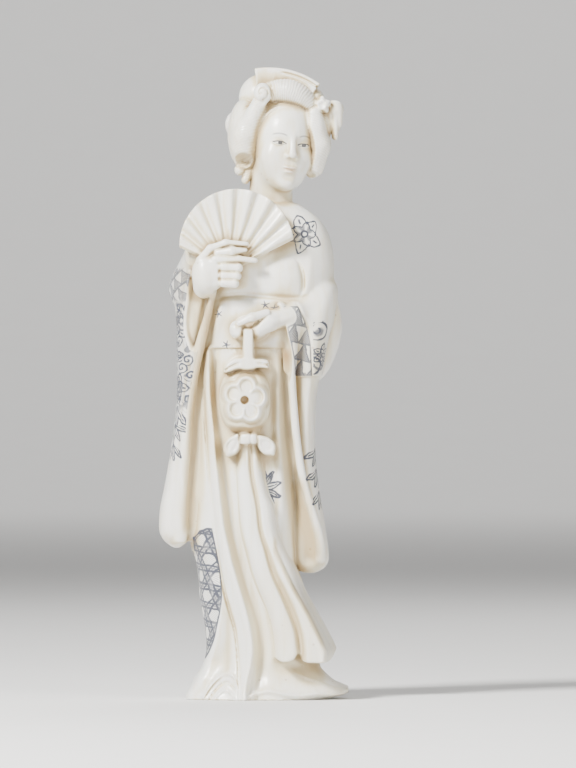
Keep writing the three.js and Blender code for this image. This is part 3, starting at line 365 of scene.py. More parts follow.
@dataclass(frozen=True)
class Robe(CarvedPart):
    """The robe from the hem to the shoulders, with its folds and the sash's raised edge."""

    low: Point = (-18, -14, -8)
    high: Point = (18, 14, 100)
    fillet: float = 0.5
    sash_edge: float = 69.9
    sash_top: float = 80.4
    sash_relief: float = 0.5
    back_groove_depth: float = 0.5
    body: Loft = Loft(
        left=Line((-3, 0, 2, 4, 6, 8, 14, 20, 26, 32, 50, 62, 70, 80, 88, 92, 95, 98, 100), (-16.8, -16.6, -16.1,
            -15.1, -13.6, -12.8, -13.1, -14, -14.5, -15.8, -15, -14.2, -13.4, -14.4, -14.6, -13.2, -10.4, -6, -4)),
        right=Line((-3, 0, 1.2, 2, 4, 6, 8, 14, 20, 24, 32, 50, 62, 70, 80, 86, 90, 93, 95.4, 97, 98.4, 100), (10.2,
            12, 15.5, 16.1, 12.8, 10.2, 9.6, 8, 6, 5.4, 6, 7, 7, 8.4, 12.2, 12.8, 12.5, 11.7, 10.3, 8.6, 6.8, 5)),
        front=Line((-3, 0, 4, 9, 30, 60, 70, 84, 90, 95, 98, 100), (-11.9, -11.5, -10.3, -9.4, -9.2, -9, -8.6, -8.6,
            -7.8, -6.2, -4.8, -3.8)),
        back=Line((-3, 0, 4, 9, 30, 60, 70, 84, 92, 98, 100), (11.9, 11.5, 10.5, 9.4, 8.8, 8.8, 8.2, 8.4, 8, 6.4,
            5.8)),
        roundness=2.5, low=-6, high=99.2, lip=1.4)

    def distance(self, at: Places) -> Array:
        """Distance to the robe."""
        x, y, z = at
        front = ease((1 - y) / 5)
        relief = self.sash_relief * ease((z - self.sash_edge) / 0.3) * ease((self.sash_top - z) / 1.2)
        for fold in FOLDS + SWELLS:
            relief = relief + fold.relief(x, z)
        lower = ease((60 - z) / 30)
        groove = np.abs(np.cos(x * 0.52 + 0.9 + np.sin(z * 0.05)))
        behind = self.back_groove_depth * (1.4 * groove - 1) * lower
        return self.body.distance(at) - front * relief - behind * (1 - front)


@dataclass(frozen=True)
class Valley(CarvedPart):
    """The shallow strip between the fan's sleeve and the skirt, where the carver left the floor of a fold."""

    low: Point = (-19, -8, 29)
    high: Point = (-8, 0, 82)
    fillet: float = 0.35
    floor: Roll = Roll(
        at_x=Line((31, 36.6, 41, 47.2, 52.9, 58.6, 63, 70.2, 80.3), (-15.6, -15.6, -15.4, -15.1, -14.6, -13.8, -13.2,
            -12, -10.4)),
        at_y=Line((31, 36, 50, 80), (-2.6, -3.8, -4.4, -5)), radius=Line((31, 50, 80), (1.6, 2.1, 2.2)), low=31.5,
        high=81)

    def distance(self, at: Places) -> Array:
        """Distance to the strip's body."""
        return self.floor.distance(at)


@dataclass(frozen=True)
class FanSleeve(CarvedPart):
    """The long sleeve on the fan's side. Two edges meet below its mouth, which opens under the wrist."""

    low: Point = (-23, -11.5, 29)
    high: Point = (-5, 7.5, 94)
    fillet: float = 0.5
    cloth: Loft = Loft(
        left=Line((28, 30, 34, 38, 42, 50, 60, 70, 76, 80, 84, 88, 91, 94), (-20.4, -21.4, -22.2, -22, -21.2, -19.8,
            -18.7, -18.7, -18.8, -19.4, -19.4, -17.8, -16, -13.6)),
        right=Line((28, 40, 60, 76, 84, 94), (-15.8, -15.6, -13.8, -12.8, -10, -6)),
        front=Line((28, 34, 50, 70, 80, 86, 94), (-5, -6.6, -7.2, -7.6, -7.6, -6.4, -3.4)),
        back=Line((28, 34, 50, 70, 86, 94), (4.6, 6.4, 6.6, 6.6, 6.2, 5)), roundness=2.6, low=30.2, high=93.6, lip=4)
    edge: Roll = Roll(
        at_x=Line((30, 36.6, 45, 52, 57.3, 63, 68, 75.2, 80.3, 82), (-17.8, -17.6, -17.2, -16.7, -16.4, -15.5, -14.5,
            -12.9, -11.8, -11.4)),
        at_y=Line((30, 50, 60, 80), (-5, -7.4, -8, -8.8)), radius=Line((30, 60, 80), (1.3, 1.05, 1.0)), low=31,
        high=82)
    outer_edge: Roll = Roll(
        at_x=Line((66, 69, 72.7, 75.2, 80.3, 86), (-15.3, -15.7, -16.9, -17.1, -16.5, -15.4)),
        at_y=Line((66, 75, 86), (-8, -7.6, -7.2)), radius=Line((66, 86), (0.8, 0.9)), low=67, high=86)
    mouth: Roll = Roll(
        at_x=Line((69.5, 72, 75.2, 80), (-15.4, -15.2, -14.9, -14.1)), at_y=Line((69, 74, 82), (-9.2, -9.2, -9.2)),
        radius=Line((69.4, 72, 75.2, 80), (0.2, 1.0, 1.75, 2.1)), low=69.2, high=84)

    def distance(self, at: Places) -> Array:
        """Distance to the sleeve."""
        x, y, z = at
        d = join(self.cloth.distance(at), self.edge.distance(at), 0.8)
        d = join(d, self.outer_edge.distance(at), 0.7)
        d = grow(at, d, (1.5, (-16.6, -1, 82), (-13.8, -6.4, 84.2), 3.4, 2.6))
        d = cut(d, self.mouth.distance(at), 0.35)
        crease = np.hypot(x + 16.9 + 0.18 * (z - 88), (z - 88) / 2.4)
        return d + 0.35 * bump((crease - 1.6) / 0.5) * ease((-2 - y) / 3)


@dataclass(frozen=True)
class LanternSleeve(CarvedPart):
    """The sleeve on the lantern's side: the forearm, the hanging cloth, the cuff and its mouth."""

    low: Point = (0.5, -12, 24.5)
    high: Point = (14.5, 7.5, 84.5)
    fillet: float = 0.55
    cuff_edge: float = 64.2
    cuff_relief: float = 0.55
    cloth: Loft = Loft(
        left=Line((24, 30, 40, 50, 62, 72, 80), (4.6, 4.2, 4.2, 4.2, 4.2, 4, 4)),
        right=Line((24, 27, 30, 35, 42, 50, 60, 64, 70, 76, 80, 84), (10.8, 11.7, 11.7, 11, 9.9, 9.1, 9.3, 9.9, 10.8,
            12.2, 13, 13)),
        front=Line((24, 28, 36, 50, 60, 72, 80, 84), (-3.8, -5, -6, -6.8, -7.4, -8, -7.2, -5)),
        back=Line((24, 30, 50, 70, 84), (4, 6, 6.6, 6.8, 6)), roundness=2.6, low=25.1, high=84, lip=3.4)
    edge: Roll = Roll(
        at_x=Line((26, 29, 33.1, 39.2, 45.4, 52, 58.6, 64.8, 70, 74, 78.6), (9.7, 10.1, 9.7, 7.9, 6.3, 5.3, 4.7, 4.3,
            4.5, 3.7, 2.2)),
        at_y=Line((26, 30, 36, 50, 64, 72, 79), (-3.4, -5, -6.6, -7.9, -8.9, -9.9, -10)),
        radius=Line((26, 40, 60, 79), (1.1, 0.85, 0.8, 0.8)), low=27, high=79.4)
    hollow_path: Line = Line((26, 30, 36.6, 45), (7, 7, 6.4, 5))
    hollow_width: Line = Line((26, 30, 36.6, 45), (1.6, 2.1, 1.7, 0.8))
    mouth: Roll = Roll(
        at_x=Line((63.6, 66, 70, 75), (3.4, 3.2, 2.6, 1.2)), at_y=Line((64, 68, 75), (-9.4, -9.9, -10)),
        radius=Line((63.6, 66, 70, 75), (0.6, 1.1, 1.55, 1.8)), low=63.2, high=75.5)
    band_edge: Line = Line((64, 68, 71, 74.9, 77.7, 79), (8.5, 8.3, 8.1, 7.2, 6, 5.2))
    band_inner: Line = Line((64, 67.4, 71, 74.9, 77.7, 79), (4.9, 4.8, 4.1, 3.2, 2.5, 2.2))

    def distance(self, at: Places) -> Array:
        """Distance to the sleeve."""
        x, y, z = at
        d = self.cloth.distance(at) - self.cuff_relief * ease((z - self.cuff_edge) / 0.35)
        hollow = bump((x - self.hollow_path(z)) / self.hollow_width(z))
        d = d + 1.3 * hollow * ease((47 - z) / 10) * ease((z - 25.5) / 3) * ease((-2 - y) / 2)
        d = grow(at, join(d, self.edge.distance(at), 0.7),
                 (1.4, (9, -3.4, 76.4), (4.8, -7.6, 76.8), 3.4, 2.9),
                 (0.9, (4.4, -8.2, 76.6), (3.8, -8.6, 66), 2.4, 1.1))
        d = d + 0.22 * bump((x - self.band_edge(z)) / 0.22) * ease((z - 64) / 1) * ease((80 - z) / 2)
        return cut(d, self.mouth.distance(at), 0.35)


@dataclass(frozen=True)
class SashKnot(CarvedPart):
    """The sash's knot behind: a broad folded pad held by a cord, and the end that hangs below it."""

    low: Point = (-18, 2, 42)
    high: Point = (15.5, 13, 87)
    fillet: float = 0.2
    cord_level: float = 74.0
    cord_half: float = 1.1
    pad: Loft = Loft(
        left=Line((62, 64, 67, 70, 75, 80, 84, 87), (-9, -12.4, -14.6, -16, -16.8, -16, -13.6, -10)),
        right=Line((62, 64, 66.2, 70, 74, 77, 80, 82.4, 84, 87), (8.4, 10.4, 12.1, 13.7, 14.5, 14.3, 13.6, 12.9, 12,
            8)),
        front=Line((62, 87), (3, 3)), back=Line((62, 66, 74, 82, 87), (9.4, 11.4, 12, 11, 8.6)), roundness=3, low=62.6,
        high=86.4, lip=2)
    end: Loft = Loft(
        left=Line((42, 64), (-7.6, -6.4)), right=Line((42, 64), (6, 4.6)), front=Line((42, 64), (4, 4)),
        back=Line((42, 50, 64), (9.8, 9.6, 10.4)), roundness=4, low=43, high=66, lip=0.8)

    def distance(self, at: Places) -> Array:
        """Distance to the knot."""
        x, y, z = at
        pad = self.pad.distance(at)
        off_cord, off_middle, behind = np.abs(z - self.cord_level), np.abs(x + 1), ease((y - 8) / 2)
        d = pad + 0.7 * bump((off_middle - 3.4 - 0.32 * off_cord) / 0.8) * behind
        fan_out = np.cos((x + 1) * 1.35 / (1 + 0.03 * off_cord))
        d = d - 0.12 * fan_out * ease((off_cord - 1) / 3) * behind
        cord = np.maximum.reduce([off_cord - self.cord_half, pad - 0.5, 7 - y, off_middle - 13.6])
        return join(join(d, self.end.distance(at), 0.5), cord, 0.6)


@dataclass(frozen=True)
class Ribbons(CarvedPart):
    """The ribbons below the lantern, which widen towards the hem and end above it."""

    low: Point = (-7.5, -14.4, 6.5)
    high: Point = (14, 3.5, 54.5)
    fillet: float = 0.25
    cloth: Loft = Loft(
        left=Line((7, *SKIRT, 38.8, 45.4, 50.7, 54), (0.6, 0.6, 0.2, -0.9, -2.6, -4, -5, -5.9, -6.3, -6.6, -6.4,
            -6.2)),
        right=Line((7, *SKIRT, 38.8, 41, 45.4, 50.7, 54), (13.2, 13.4, 11.6, 9.4, 7.2, 5.6, 3.4, 1.6, 0.6, -0.4, -1.5,
            -2.1, -2)),
        front=Line((7, 14, 24, 40, 54), (-13.2, -12.8, -12.3, -11.5, -11.4)),
        back=Line((7, 20, 30, 40, 54), (3, 2, 0, -4, -6)), roundness=3.2, low=5, high=54, lip=0.6)
    foot: Line = Line((0.4, 2.6, 4.6, 5.8, 6.6, 9, 11, 12.2, 13.4), (8.7, 7.7, 8.1, 9.3, 7.9, 7.5, 7.6, 8.1, 10.2))
    first_groove: Line = Line((*SKIRT, 38.8, 45.4, 50.7), (6.1, 5.5, 4.1, 2.3, 0.5, -0.7, -1.9, -2.5, -3.7, -4))
    second_groove: Line = Line(SKIRT, (11.2, 9.3, 7.3, 5, 3, 1.2, 0.2))

    def distance(self, at: Places) -> Array:
        """Distance to the ribbons."""
        x, y, z = at
        low_down = ease((36 - z) / 20)
        valley = x - self.first_groove(z)
        wide = mix(0.4, 0.85, low_down)
        first = mix(0.75, 1.7, low_down) * bump(valley / np.where(valley < 0, 0.8 * wide, 1.3 * wide))
        past = x - self.second_groove(z)
        second = low_down * (1.1 * ease(past / 0.5) - 0.5 * bump((past + 0.7) / 0.7))
        side = self.cloth.distance(at) + ease((-4 - y) / 4) * (first + second)
        return both(side, self.foot(x) - z, 0.35)


@dataclass(frozen=True)
class Lantern(CarvedPart):
    """The lantern: a barrel with a curved cap, and an outlined flower on its face."""

    low: Point = (-11, -15, 52)
    high: Point = (0.5, -5, 69.5)
    fillet: float = 0.6
    centre: Point = (-5.0, -9.8, 59.7)
    half_wide: float = 5.1
    half_high: float = 6.5
    half_deep: float = 3.9
    petals: int = 5
    petal_reach: float = 2.35
    petal_size: float = 1.7
    stretch: float = 1.1
    outline: float = 0.36
    hole_radius: float = 0.85
    cap_middle: Line = Line((-9.3, -8, -6.4, -4.3, -1.6, 0), (65.5, 66.3, 67.0, 66.9, 67.0, 66.7))
    cap_half: Line = Line((-9.3, -8, -6, -3, -0.2), (0.45, 1.0, 1.15, 0.95, 0.8))

    def flower(self, x: Array, z: Array) -> Array:
        """Distance from the flower's outline, seen from the front, below zero inside the flower."""
        across, up = x - self.centre[0] - 0.05, (z - self.centre[2] - 0.1) / self.stretch
        d = np.hypot(across, up) - 2.2
        for n in range(self.petals):
            angle = n / self.petals * 2 * math.pi + 0.12
            middle = self.petal_reach * math.sin(angle), self.petal_reach * math.cos(angle)
            d = join(d, np.hypot(across - middle[0], up - middle[1]) - self.petal_size, 0.35)
        return d

    def distance(self, at: Places) -> Array:
        """Distance to the lantern."""
        x, y, z = at
        cx, cy, cz = self.centre
        wide, up = (x - cx) / self.half_wide, (z - cz) / self.half_high
        deep = np.abs(y - cy) / self.half_deep
        body = np.abs(wide) ** 2.2 + deep ** 2.2 + np.abs(up) ** 2.6
        d = (body ** 0.45 - 1) * self.half_deep
        front = ease((cy - y) / 2)
        rim = self.flower(x, z)
        centre = np.hypot(x - cx, z - cz)
        raised = 0.44 * bump(rim / self.outline) - 0.26 * ease((-0.3 - rim) / 0.5) + 0.25 * bump(centre / 1.2)
        d = d - front * (raised - 0.2 * bump((rim - 0.8) / 0.3))
        hole = limb(at, (cx, cy - 8, cz), (cx, cy - 3, cz), self.hole_radius, self.hole_radius)
        d = cut(d, hole, 0.2)
        off = z - self.cap_middle(x)
        cap = both(np.abs(off) - self.cap_half(x), np.abs(x + 4.65) - 4.5, 0.5)
        cap = both(cap, np.abs(y - cy) - 3.5, 0.6)
        crease = bump((off + 0.1) / 0.25) * ease((np.abs(x + 4.3) - 1.4) / 0.6) * ease((-11.5 - y) / 0.8)
        return join(d, cap + 0.32 * crease, 0.4)


@dataclass(frozen=True)
class StrapAndBow(CarvedPart):
    """The strap in the hand's grip, and the small bow under the lantern."""

    low: Point = (-9.5, -14, 45)
    high: Point = (1.8, -6, 75.5)
    fillet: float = 0.4
    centre: Point = (-5.0, -9.8)
    half: float = 1.0
    foot: float = 52.0
    top: float = 73.9
    lantern_top: float = 66.3

    def loop(self, at: Places, middle: Point, lean: float) -> Array:
        """Distance to one loop of the bow, with its crease.

        Args:
            at: places in drawn millimetres.
            middle: the loop's middle, across and up.
            lean: how far it leans outwards, in radians.

        Returns:
            The distance.
        """
        x, y, z = at
        u, w = x - middle[0], z - middle[1]
        along, off = w * math.cos(lean) + u * math.sin(lean), u * math.cos(lean) - w * math.sin(lean)
        leaf = (np.hypot(off / (1.55 - 0.12 * along), along / 2.2) - 1) * 1.45
        d = both(leaf, np.abs(y - self.centre[1] + 0.3) - 2.5 - 0.12 * along, 0.6)
        hollow = 0.26 * ease((-0.4 - leaf) / 0.4) - 0.24 * bump(off / 0.5)
        return d + hollow * ease((-11 - y) / 1)

    def distance(self, at: Places) -> Array:
        """Distance to the strap and the bow."""
        x, y, z = at
        cx, cy = self.centre
        share = clamp((z - self.lantern_top) / (self.top - self.lantern_top))
        widens = self.half * (0.95 + 0.25 * (1 - share) ** 2)
        side = both(np.abs(x - cx - 0.7) - widens, np.abs(y - cy + 1.0) - 2.4, 0.5)
        d = both(side, np.maximum(self.lantern_top - 0.5 - z, z - self.top), 0.5)
        knot = both(np.abs(x - cx - 0.75) - 1.75, np.abs(z - self.foot) - 1.05, 0.5)
        knot = both(knot, ellipsoid(at, (cx + 0.75, cy, self.foot), (3.3, 3.7, 3.2)), 0.4)
        groove = bump((x - cx - 1.2) / 0.22) * ease((-11 - y) / 1)
        d = join(d, knot + 0.18 * groove, 0.2)
        left = self.loop(at, (-7.45, 50.7), 0.46)
        right = self.loop(at, (-0.75, 50.7), -0.7)
        return join(join(d, left, 0.2), right, 0.2)


@dataclass(frozen=True)
class Fan(CarvedPart):
    """The open fan. Its sticks meet in the fist, and its leaf is folded into soft pleats."""

    low: Point = (-19, -12.2, 84.5)
    high: Point = (5.5, -8, 102.5)
    fillet: float = 0.3
    centre: Point = (-6.6, 90.3)
    pivot: Point = (-8, 85.2)
    radius: float = 11.4
    left_edge: float = math.radians(-64)
    right_edge: float = math.radians(63)
    leaf_inner: float = 4.6
    front: float = -10.5
    thickness: float = 1.7
    pleats: int = 9
    pleat_depth: float = 1.0

    def distance(self, at: Places) -> Array:
        """Distance to the fan."""
        x, y, z = at
        dx, dz = x - self.pivot[0], z - self.pivot[1]
        angle, reach = np.arctan2(dx, dz), np.hypot(dx, dz)
        rim = np.hypot(x - self.centre[0], z - self.centre[1]) - self.radius
        past = np.maximum(self.left_edge - angle, angle - self.right_edge)
        wedge = np.where(past > np.pi / 2, reach, reach * np.sin(past))
        share = (angle - self.left_edge) / (self.right_edge - self.left_edge)
        turn = (share * self.pleats + 10) % 1
        # Each pleat climbs slowly on one side and falls back quickly on the other.
        pleat = np.where(turn < 0.6, ease(turn / 0.6), ease((1 - turn) / 0.4))
        leaf = ease((reach - self.leaf_inner) / 0.9) * mix(0.55, 1.0, ease((reach - 5) / 7))
        guard = 0.3 * bump((wedge + 0.5) / 0.3)
        plane = self.front + self.pleat_depth * (0.5 - pleat) * leaf - guard
        step = 0.25 * ease((reach - self.leaf_inner + 0.3) / 0.3)
        slab = np.maximum(plane - step - y, y - self.front - self.thickness)
        return both(both(rim, wedge, 0.15), slab, 0.22)


@dataclass(frozen=True)
class FanBacking(CarvedPart):
    """The shoulder's cloth behind the fan's leaf."""

    low: Point = (-19, -12, 79)
    high: Point = (3.5, 4, 99)
    fillet: float = 1.0

    def distance(self, at: Places) -> Array:
        """Distance to the cloth."""
        return grow(at, ((-7.4, -5.4, 89.6), (9.4, 5, 8)), (2.0, (-12, -2, 91), (-6, -7, 92), 5, 3))


@dataclass(frozen=True)
class FanHand(CarvedPart):
    """The fist with the fan: the thumb lies along the leaf, one finger points and three are curled."""

    low: Point = (-17.5, -14.2, 79)
    high: Point = (-1.8, -5.5, 92)
    fillet: float = 0.3
    curled: tuple[tuple[float, float, float], ...] = ((86.1, -6.1, 0.92), (84.5, -6.4, 0.9), (83.0, -6.8, 0.85))

    def distance(self, at: Places) -> Array:
        """Distance to the hand."""
        x, y, z = at
        palm = grow(at, ((-12.6, -10.6, 84.9), (2.9, 2.5, 3.9)),
                    (1.2, (-13.0, -8.8, 82.2), (-12.2, -10.4, 84), 2.3, 2.5),
                    (0.8, (-10.9, -11.6, 87.0), (-10.5, -11.5, 83.2), 1.25, 1.2))
        fingers = np.full(x.shape, 9.0)
        for level, tip, thick in self.curled:
            bend = (tip - 0.2, -12.7, level - 0.15)
            finger = grow(at, ((-9.7, -12.3, level), bend, thick, thick * 0.98),
                          (0.3, bend, (tip, -11.4, level - 0.2), thick * 0.95, thick * 0.8))
            fingers = join(fingers, finger, 0.12)
        knuckles = 0.3 * bump((x + 10.0) / 0.3) * bump((z - 84.4) / 2.8) * ease((-11 - y) / 0.6)
        d = join(palm, fingers, 0.3) + knuckles
        pointing = grow(at, ((-10.8, -12.1, 87.6), (-6.4, -12.2, 87.7), 0.95, 0.78),
                        (0.3, (-6.4, -12.2, 87.7), (-2.9, -11.9, 87.45), 0.78, 0.5))
        on_leaf = grow(at, ((-10.4, -11.9, 88.9), (-7.6, -12.3, 89.25), 0.8, 1.0),
                       (0.3, (-7.6, -12.3, 89.25), (-4.9, -12.0, 89.5), 1.0, 0.45))
        thumb = grow(at, ((-13.8, -11.2, 87.4), (-11.8, -11.8, 89.8), 0.95, 0.75),
                     (0.5, (-11.8, -11.8, 89.8), (-8.8, -12.1, 90.95), 0.75, 0.62),
                     (0.5, (-8.8, -12.1, 90.95), (-4.6, -11.9, 90.7), 0.62, 0.45))
        d = join(join(d, pointing, 0.18), on_leaf, 0.15)
        return join(grow(at, d, (0.3, (-11.4, -10.6, 88.4), (-5.6, -10.8, 88.9), 1.3, 0.9)), thumb, 0.25)


@dataclass(frozen=True)
class LanternHand(CarvedPart):
    """The hand that holds the strap: its back slopes down, the fingers close round the strap."""

    low: Point = (-8.8, -14, 69.5)
    high: Point = (5.5, -6.5, 79)
    fillet: float = 0.3

    def distance(self, at: Places) -> Array:
        """Distance to the hand."""
        d = grow(at, ((3.4, -9.4, 76.3), (-0.2, -10.6, 75.4), 1.9, 1.95),
                 (0.7, (-0.2, -10.8, 75.3), (-2.4, -11.5, 73.5), 1.95, 1.35))
        thumb = grow(at, ((-0.6, -12.0, 77.0), (-3.6, -12.9, 76.1), 0.8, 0.85),
                     (0.5, (-3.6, -12.9, 76.1), (-6.0, -12.9, 74.95), 0.85, 0.6))
        fingers = ((0.15, (across + 0.9, -10.4, level + 0.6), (across, -10.4, level), 0.9, 0.75)
                   for across, level in ((-2.6, 72.6), (-1.0, 73.6), (0.6, 74.4)))
        return grow(at, join(d, thumb, 0.15), (0.3, (-6.7, -10.8, 73.7), (1.35, 1.9, 1.75)),
                    (0.12, (-5.9, -11.9, 74.6), (-6.3, -12.0, 72.9), 0.85, 0.8), *fingers,
                    (0.5, (-3.6, -9, 74), (3.8, 2, 2.6)))


@dataclass(frozen=True)
class Collar(CarvedPart):
    """The collar lies low round the neck, higher behind than in front."""

    low: Point = (-6.5, -6, 93)
    high: Point = (7, 7, 101)
    fillet: float = 0.4

    def distance(self, at: Places) -> Array:
        """Distance to the collar."""
        x, y, z = at
        rise = z - 98.2 - 0.12 * y + 0.3 * np.abs(x - 0.2)
        ring = np.abs(np.hypot(x - 0.2, y - 0.6) - 5.2) - 0.7
        return both(ring, np.abs(rise) - 1.6, 0.5)


def face_frame() -> Array:
    """The rotation from the head's own level frame into the turned and tilted face's frame."""
    turned = Euler((math.radians(3), math.radians(6), math.radians(18)), "XYZ").to_matrix()
    return np.array(turned.inverted())


@dataclass(frozen=True)
class Head(CarvedPart):
    """The head: the face in its own turned frame, the neck, the dressed hair and its ornaments."""

    low: Point = (-10, -10.5, 89)
    high: Point = (15.5, 11, 127)
    fillet: float = 0.5
    centre: Point = (2.3, -0.4, 110.6)
    neck_foot: Point = (0, 0.6, 94)
    neck_top: Point = (0.3, 0.4, 106)
    to_face: Array = field(default_factory=face_frame, compare=False)
    band_centre: Point = (-2.5, -2)
    band_radius: float = 17.5
    band_from: float = math.radians(-9.5)
    band_to: float = math.radians(35.5)
    band_width: float = 3.2
    band_half_depth: float = 3.2
    roll_centre: Point = (0.2, 3.5)
    roll_radius: float = 7.4
    roll_from: float = math.radians(-28)
    roll_to: float = math.radians(60)
    roll_thickness: Line = Line((-0.5, 0.1, 0.5, 0.85, 1.05), (1.9, 2.35, 2.2, 1.7, 1.3))
    curl: Point = (-3.8, -6.3, 10.4)

    def face_place(self, at: Places) -> Places:
        """Turns places round the head's middle into the face's frame."""
        u, v, w = at
        return tuple(row[0] * u + row[1] * v + row[2] * w for row in self.to_face)

    def face(self, at: Places) -> Array:
        """Distance to the face."""
        at = x, y, z = self.face_place(at)
        mirrored = np.abs(x), y, z
        d = grow(at, ((0, 0, 1.6), (6.4, 7.3, 8.6)), (2.0, (0, -2.6, -4), (4.9, 4.6, 5.2)),
                 (1.6, (0, -5.5, -7.6), (1.6, 1.4, 1.2)))
        d = grow(mirrored, d, (1.6, (3, -4.7, -2.3), (2, 1.85, 2.4)), (-1.2, (2.5, -8.25, 0.75), (1.8, 1.5, 0.95)))
        for feature, fillet in ((self.eye(mirrored), 0.15), (self.nose(at), 0.5), (self.mouth(at), 0.3)):
            d = join(d, feature, fillet)
        d = d + 0.12 * bump(x / 0.3) * bump((z + 3.35) / 0.45) * ease((-5 - y) / 1)
        return grow(at, d, (-0.7, (0, -7.75, -6.15), (1.3, 0.9, 0.4)))

    def eye(self, mirrored: Places) -> Array:
        """Distance to a lid and the ball behind it."""
        side, y, z = mirrored
        ball = ellipsoid(mirrored, (EYE_ACROSS, -5.95, 0.45), (1.4, 1.05, 0.82))
        t = (side - EYE_ACROSS) / EYE_HALF
        open_half = 0.3 * np.clip(1 - t * t, 0, 1)
        level = z - LID_LEVEL - 0.06 * t
        lids = ease((open_half - np.abs(level) + 0.06) / 0.1)
        fold = bump((level - 0.72 * np.clip(1 - 0.75 * t * t, 0, 1)) / 0.1)
        return ball + (0.14 * lids + 0.07 * fold) * ease((-5 - y) / 1)

    def nose(self, at: Places) -> Array:
        """Distance to the nose."""
        d = grow(at, ((0, -6.55, 2.4), (0, -7.75, -1.3), 0.6, 0.72), (0.5, (0, -7.85, -1.75), (0.78, 0.8, 0.66)))
        return grow((np.abs(at[0]), *at[1:]), d, (0.3, (0.82, -7.1, -2.0), (0.52, 0.75, 0.5)),
                    (-0.12, (0.42, -7.75, -2.5), (0.24, 0.35, 0.16)))

    def mouth(self, at: Places) -> Array:
        """Distance to the lips."""
        x, y, z = at
        side = np.abs(x)
        lip_line = -4.62 + 0.05 * side * side
        upper = ellipsoid((side, y, z), (0.5, -6.8, -4.25), (1.0, 0.75, 0.42))
        d = grow(at, upper, (0.1, (0, -6.72, -5.05), (1.05, 0.85, 0.48)))
        return d + 0.26 * bump((z - lip_line) / 0.13) * ease((-5 - y) / 1)

    def roll(self, at: Places) -> Array:
        """Distance to the roll of hair over the brow."""
        x, y, z = at
        dx, dz = x - self.roll_centre[0], z - self.roll_centre[1]
        angle = np.arctan2(dx, dz)
        out = np.hypot(dx, dz) - self.roll_radius
        back = y + 4.5 - 0.045 * (x - 0.5) ** 2
        past = np.maximum(self.roll_from - angle, angle - self.roll_to) * self.roll_radius
        return both(np.hypot(out, back) - self.roll_thickness(angle), past, 1.2)

    def wings(self, at: Places) -> Array:
        """Distance to the wings of hair beside the face and the lobes under them."""
        left = grow(at, ((-7.2, 0.2, 2.2), (3.6, 5.6, 7.2)),
                    (0.3, (-9.3, 3.2, 4.3), (2.0, 3.0, 2.6)),
                    (0.7, (-4.4, -5.2, 8.4), (-7.3, -3.4, 2.2), 1.5, 2.3),
                    (0.7, (-7.3, -3.4, 2.2), (-7.6, -2.4, -0.4), 2.3, 2.1),
                    (-0.4, (-7.6, -4.4, -3.4), (2.1, 3.4, 1.7)),
                    (0.2, (-6.8, 0.8, -2.8), (-8.3, -0.6, -4.9), 1.6, 1.15),
                    (0.2, (-6.2, 0.2, -4.6), (-7.2, -0.8, -6.9), 1.4, 0.85))
        right = grow(at, ((6.2, 0.2, 1), (3, 5.6, 7.6)),
                     (1.4, (6.6, -3.4, 6.4), (7.6, -2.6, 0), 1.5, 2.0),
                     (1.4, (7.6, -2.6, 0), (6.8, -1.9, -4.4), 2.0, 1.6),
                     (0.4, (8.0, 0.6, 4.6), (2.4, 3.6, 4.2)),
                     (-0.4, (5.6, -3.8, -6.4), (1.5, 2.6, 1)))
        return join(left, right, 0.4)

    def hair(self, at: Places) -> Array:
        """Distance to all the hair."""
        d = grow(at, ((0.2, 1.6, 3.2), (7.8, 8, 8.8)), (1.2, (0, 6.4, -3.8), (5, 4, 4.6)))
        d = grow(at, join(d, self.wings(at), 0.6), (-0.4, (0.5, -9, -1.8), (6.9, 8.6, 10)))
        return join(d, self.roll(at), 0.3)

    def ornaments(self, at: Places) -> Array:
        """Distance to the folded band, the curl, and the flower with its ribbon."""
        x, y, z = at
        dx, dz = x - self.band_centre[0], z - self.band_centre[1]
        reach = np.hypot(dx, dz) - self.band_radius
        angle = np.arctan2(dx, dz)
        past = np.maximum(self.band_from - angle, angle - self.band_to) * self.band_radius
        ring = np.maximum(np.maximum(reach, -reach - self.band_width), past)
        fold = 0.3 * ease((angle - 0.12) / 0.1) * bump((reach + 0.85) / 0.22)
        band = both(ring, np.abs(y + 0.5) - self.band_half_depth, 0.3) + fold * ease((-1 - y) / 1)
        d = grow(at, band, (0.3, (1, 1.8, 9.6), (7, 4.4, 3.6)), (0.25, (-3.6, 1.6, 9.7), (4.9, 4, 4.7)),
                 (0.25, (6.6, -0.8, 9.4), (1.9, 2.6, 2.0)))
        u, w = x - self.curl[0], z - self.curl[2]
        spiral = np.hypot(u, w) - 0.3 - 1.1 * ((np.arctan2(u, w) + np.pi) / (2 * np.pi))
        curl = ellipsoid(at, self.curl, (1.75, 1.35, 1.9)) + 0.28 * bump(spiral / 0.17) * ease((-5.8 - y) / 1)
        curl = grow(at, curl, (0.2, (-2.7, -6.3, 9.6), (-3.7, -6.1, 7.9), 0.75, 0.4))
        return join(join(d, curl, 0.25), self.flower_and_ribbon(at), 0.3)

    def flower_and_ribbon(self, at: Places) -> Array:
        """Distance to the flower at the band's end and the ribbon that falls from it."""
        x, y, z = at
        u, w = x - 8.1, z - 8.0
        reach = np.hypot(u, w)
        petals = 1.8 * (0.9 + 0.13 * np.cos(5 * np.arctan2(u, w)))
        d = ellipsoid(at, (8.1, -3.4, 8.0), (petals, 1.3, petals))
        d = d + 0.5 * bump(reach / 0.55) * ease((-3.4 - y) / 1) - 0.1 * bump((reach - 0.85) / 0.25)
        ends = ((0.12, (top, -1.8, 6.8), (out, -1.3, drop), 1.0, 0.65)
                for top, out, drop in ((9.7, 9.7, 3.4), (10.7, 10.7, 1.7), (11.3, 11.5, 4.2)))
        return grow(at, d, (0.3, (10.5, -1.2, 7.2), (2.0, 1.9, 1.8)), (0.3, (10.4, -0.8, 4.8), (1.6, 1.5, 2.6)), *ends)

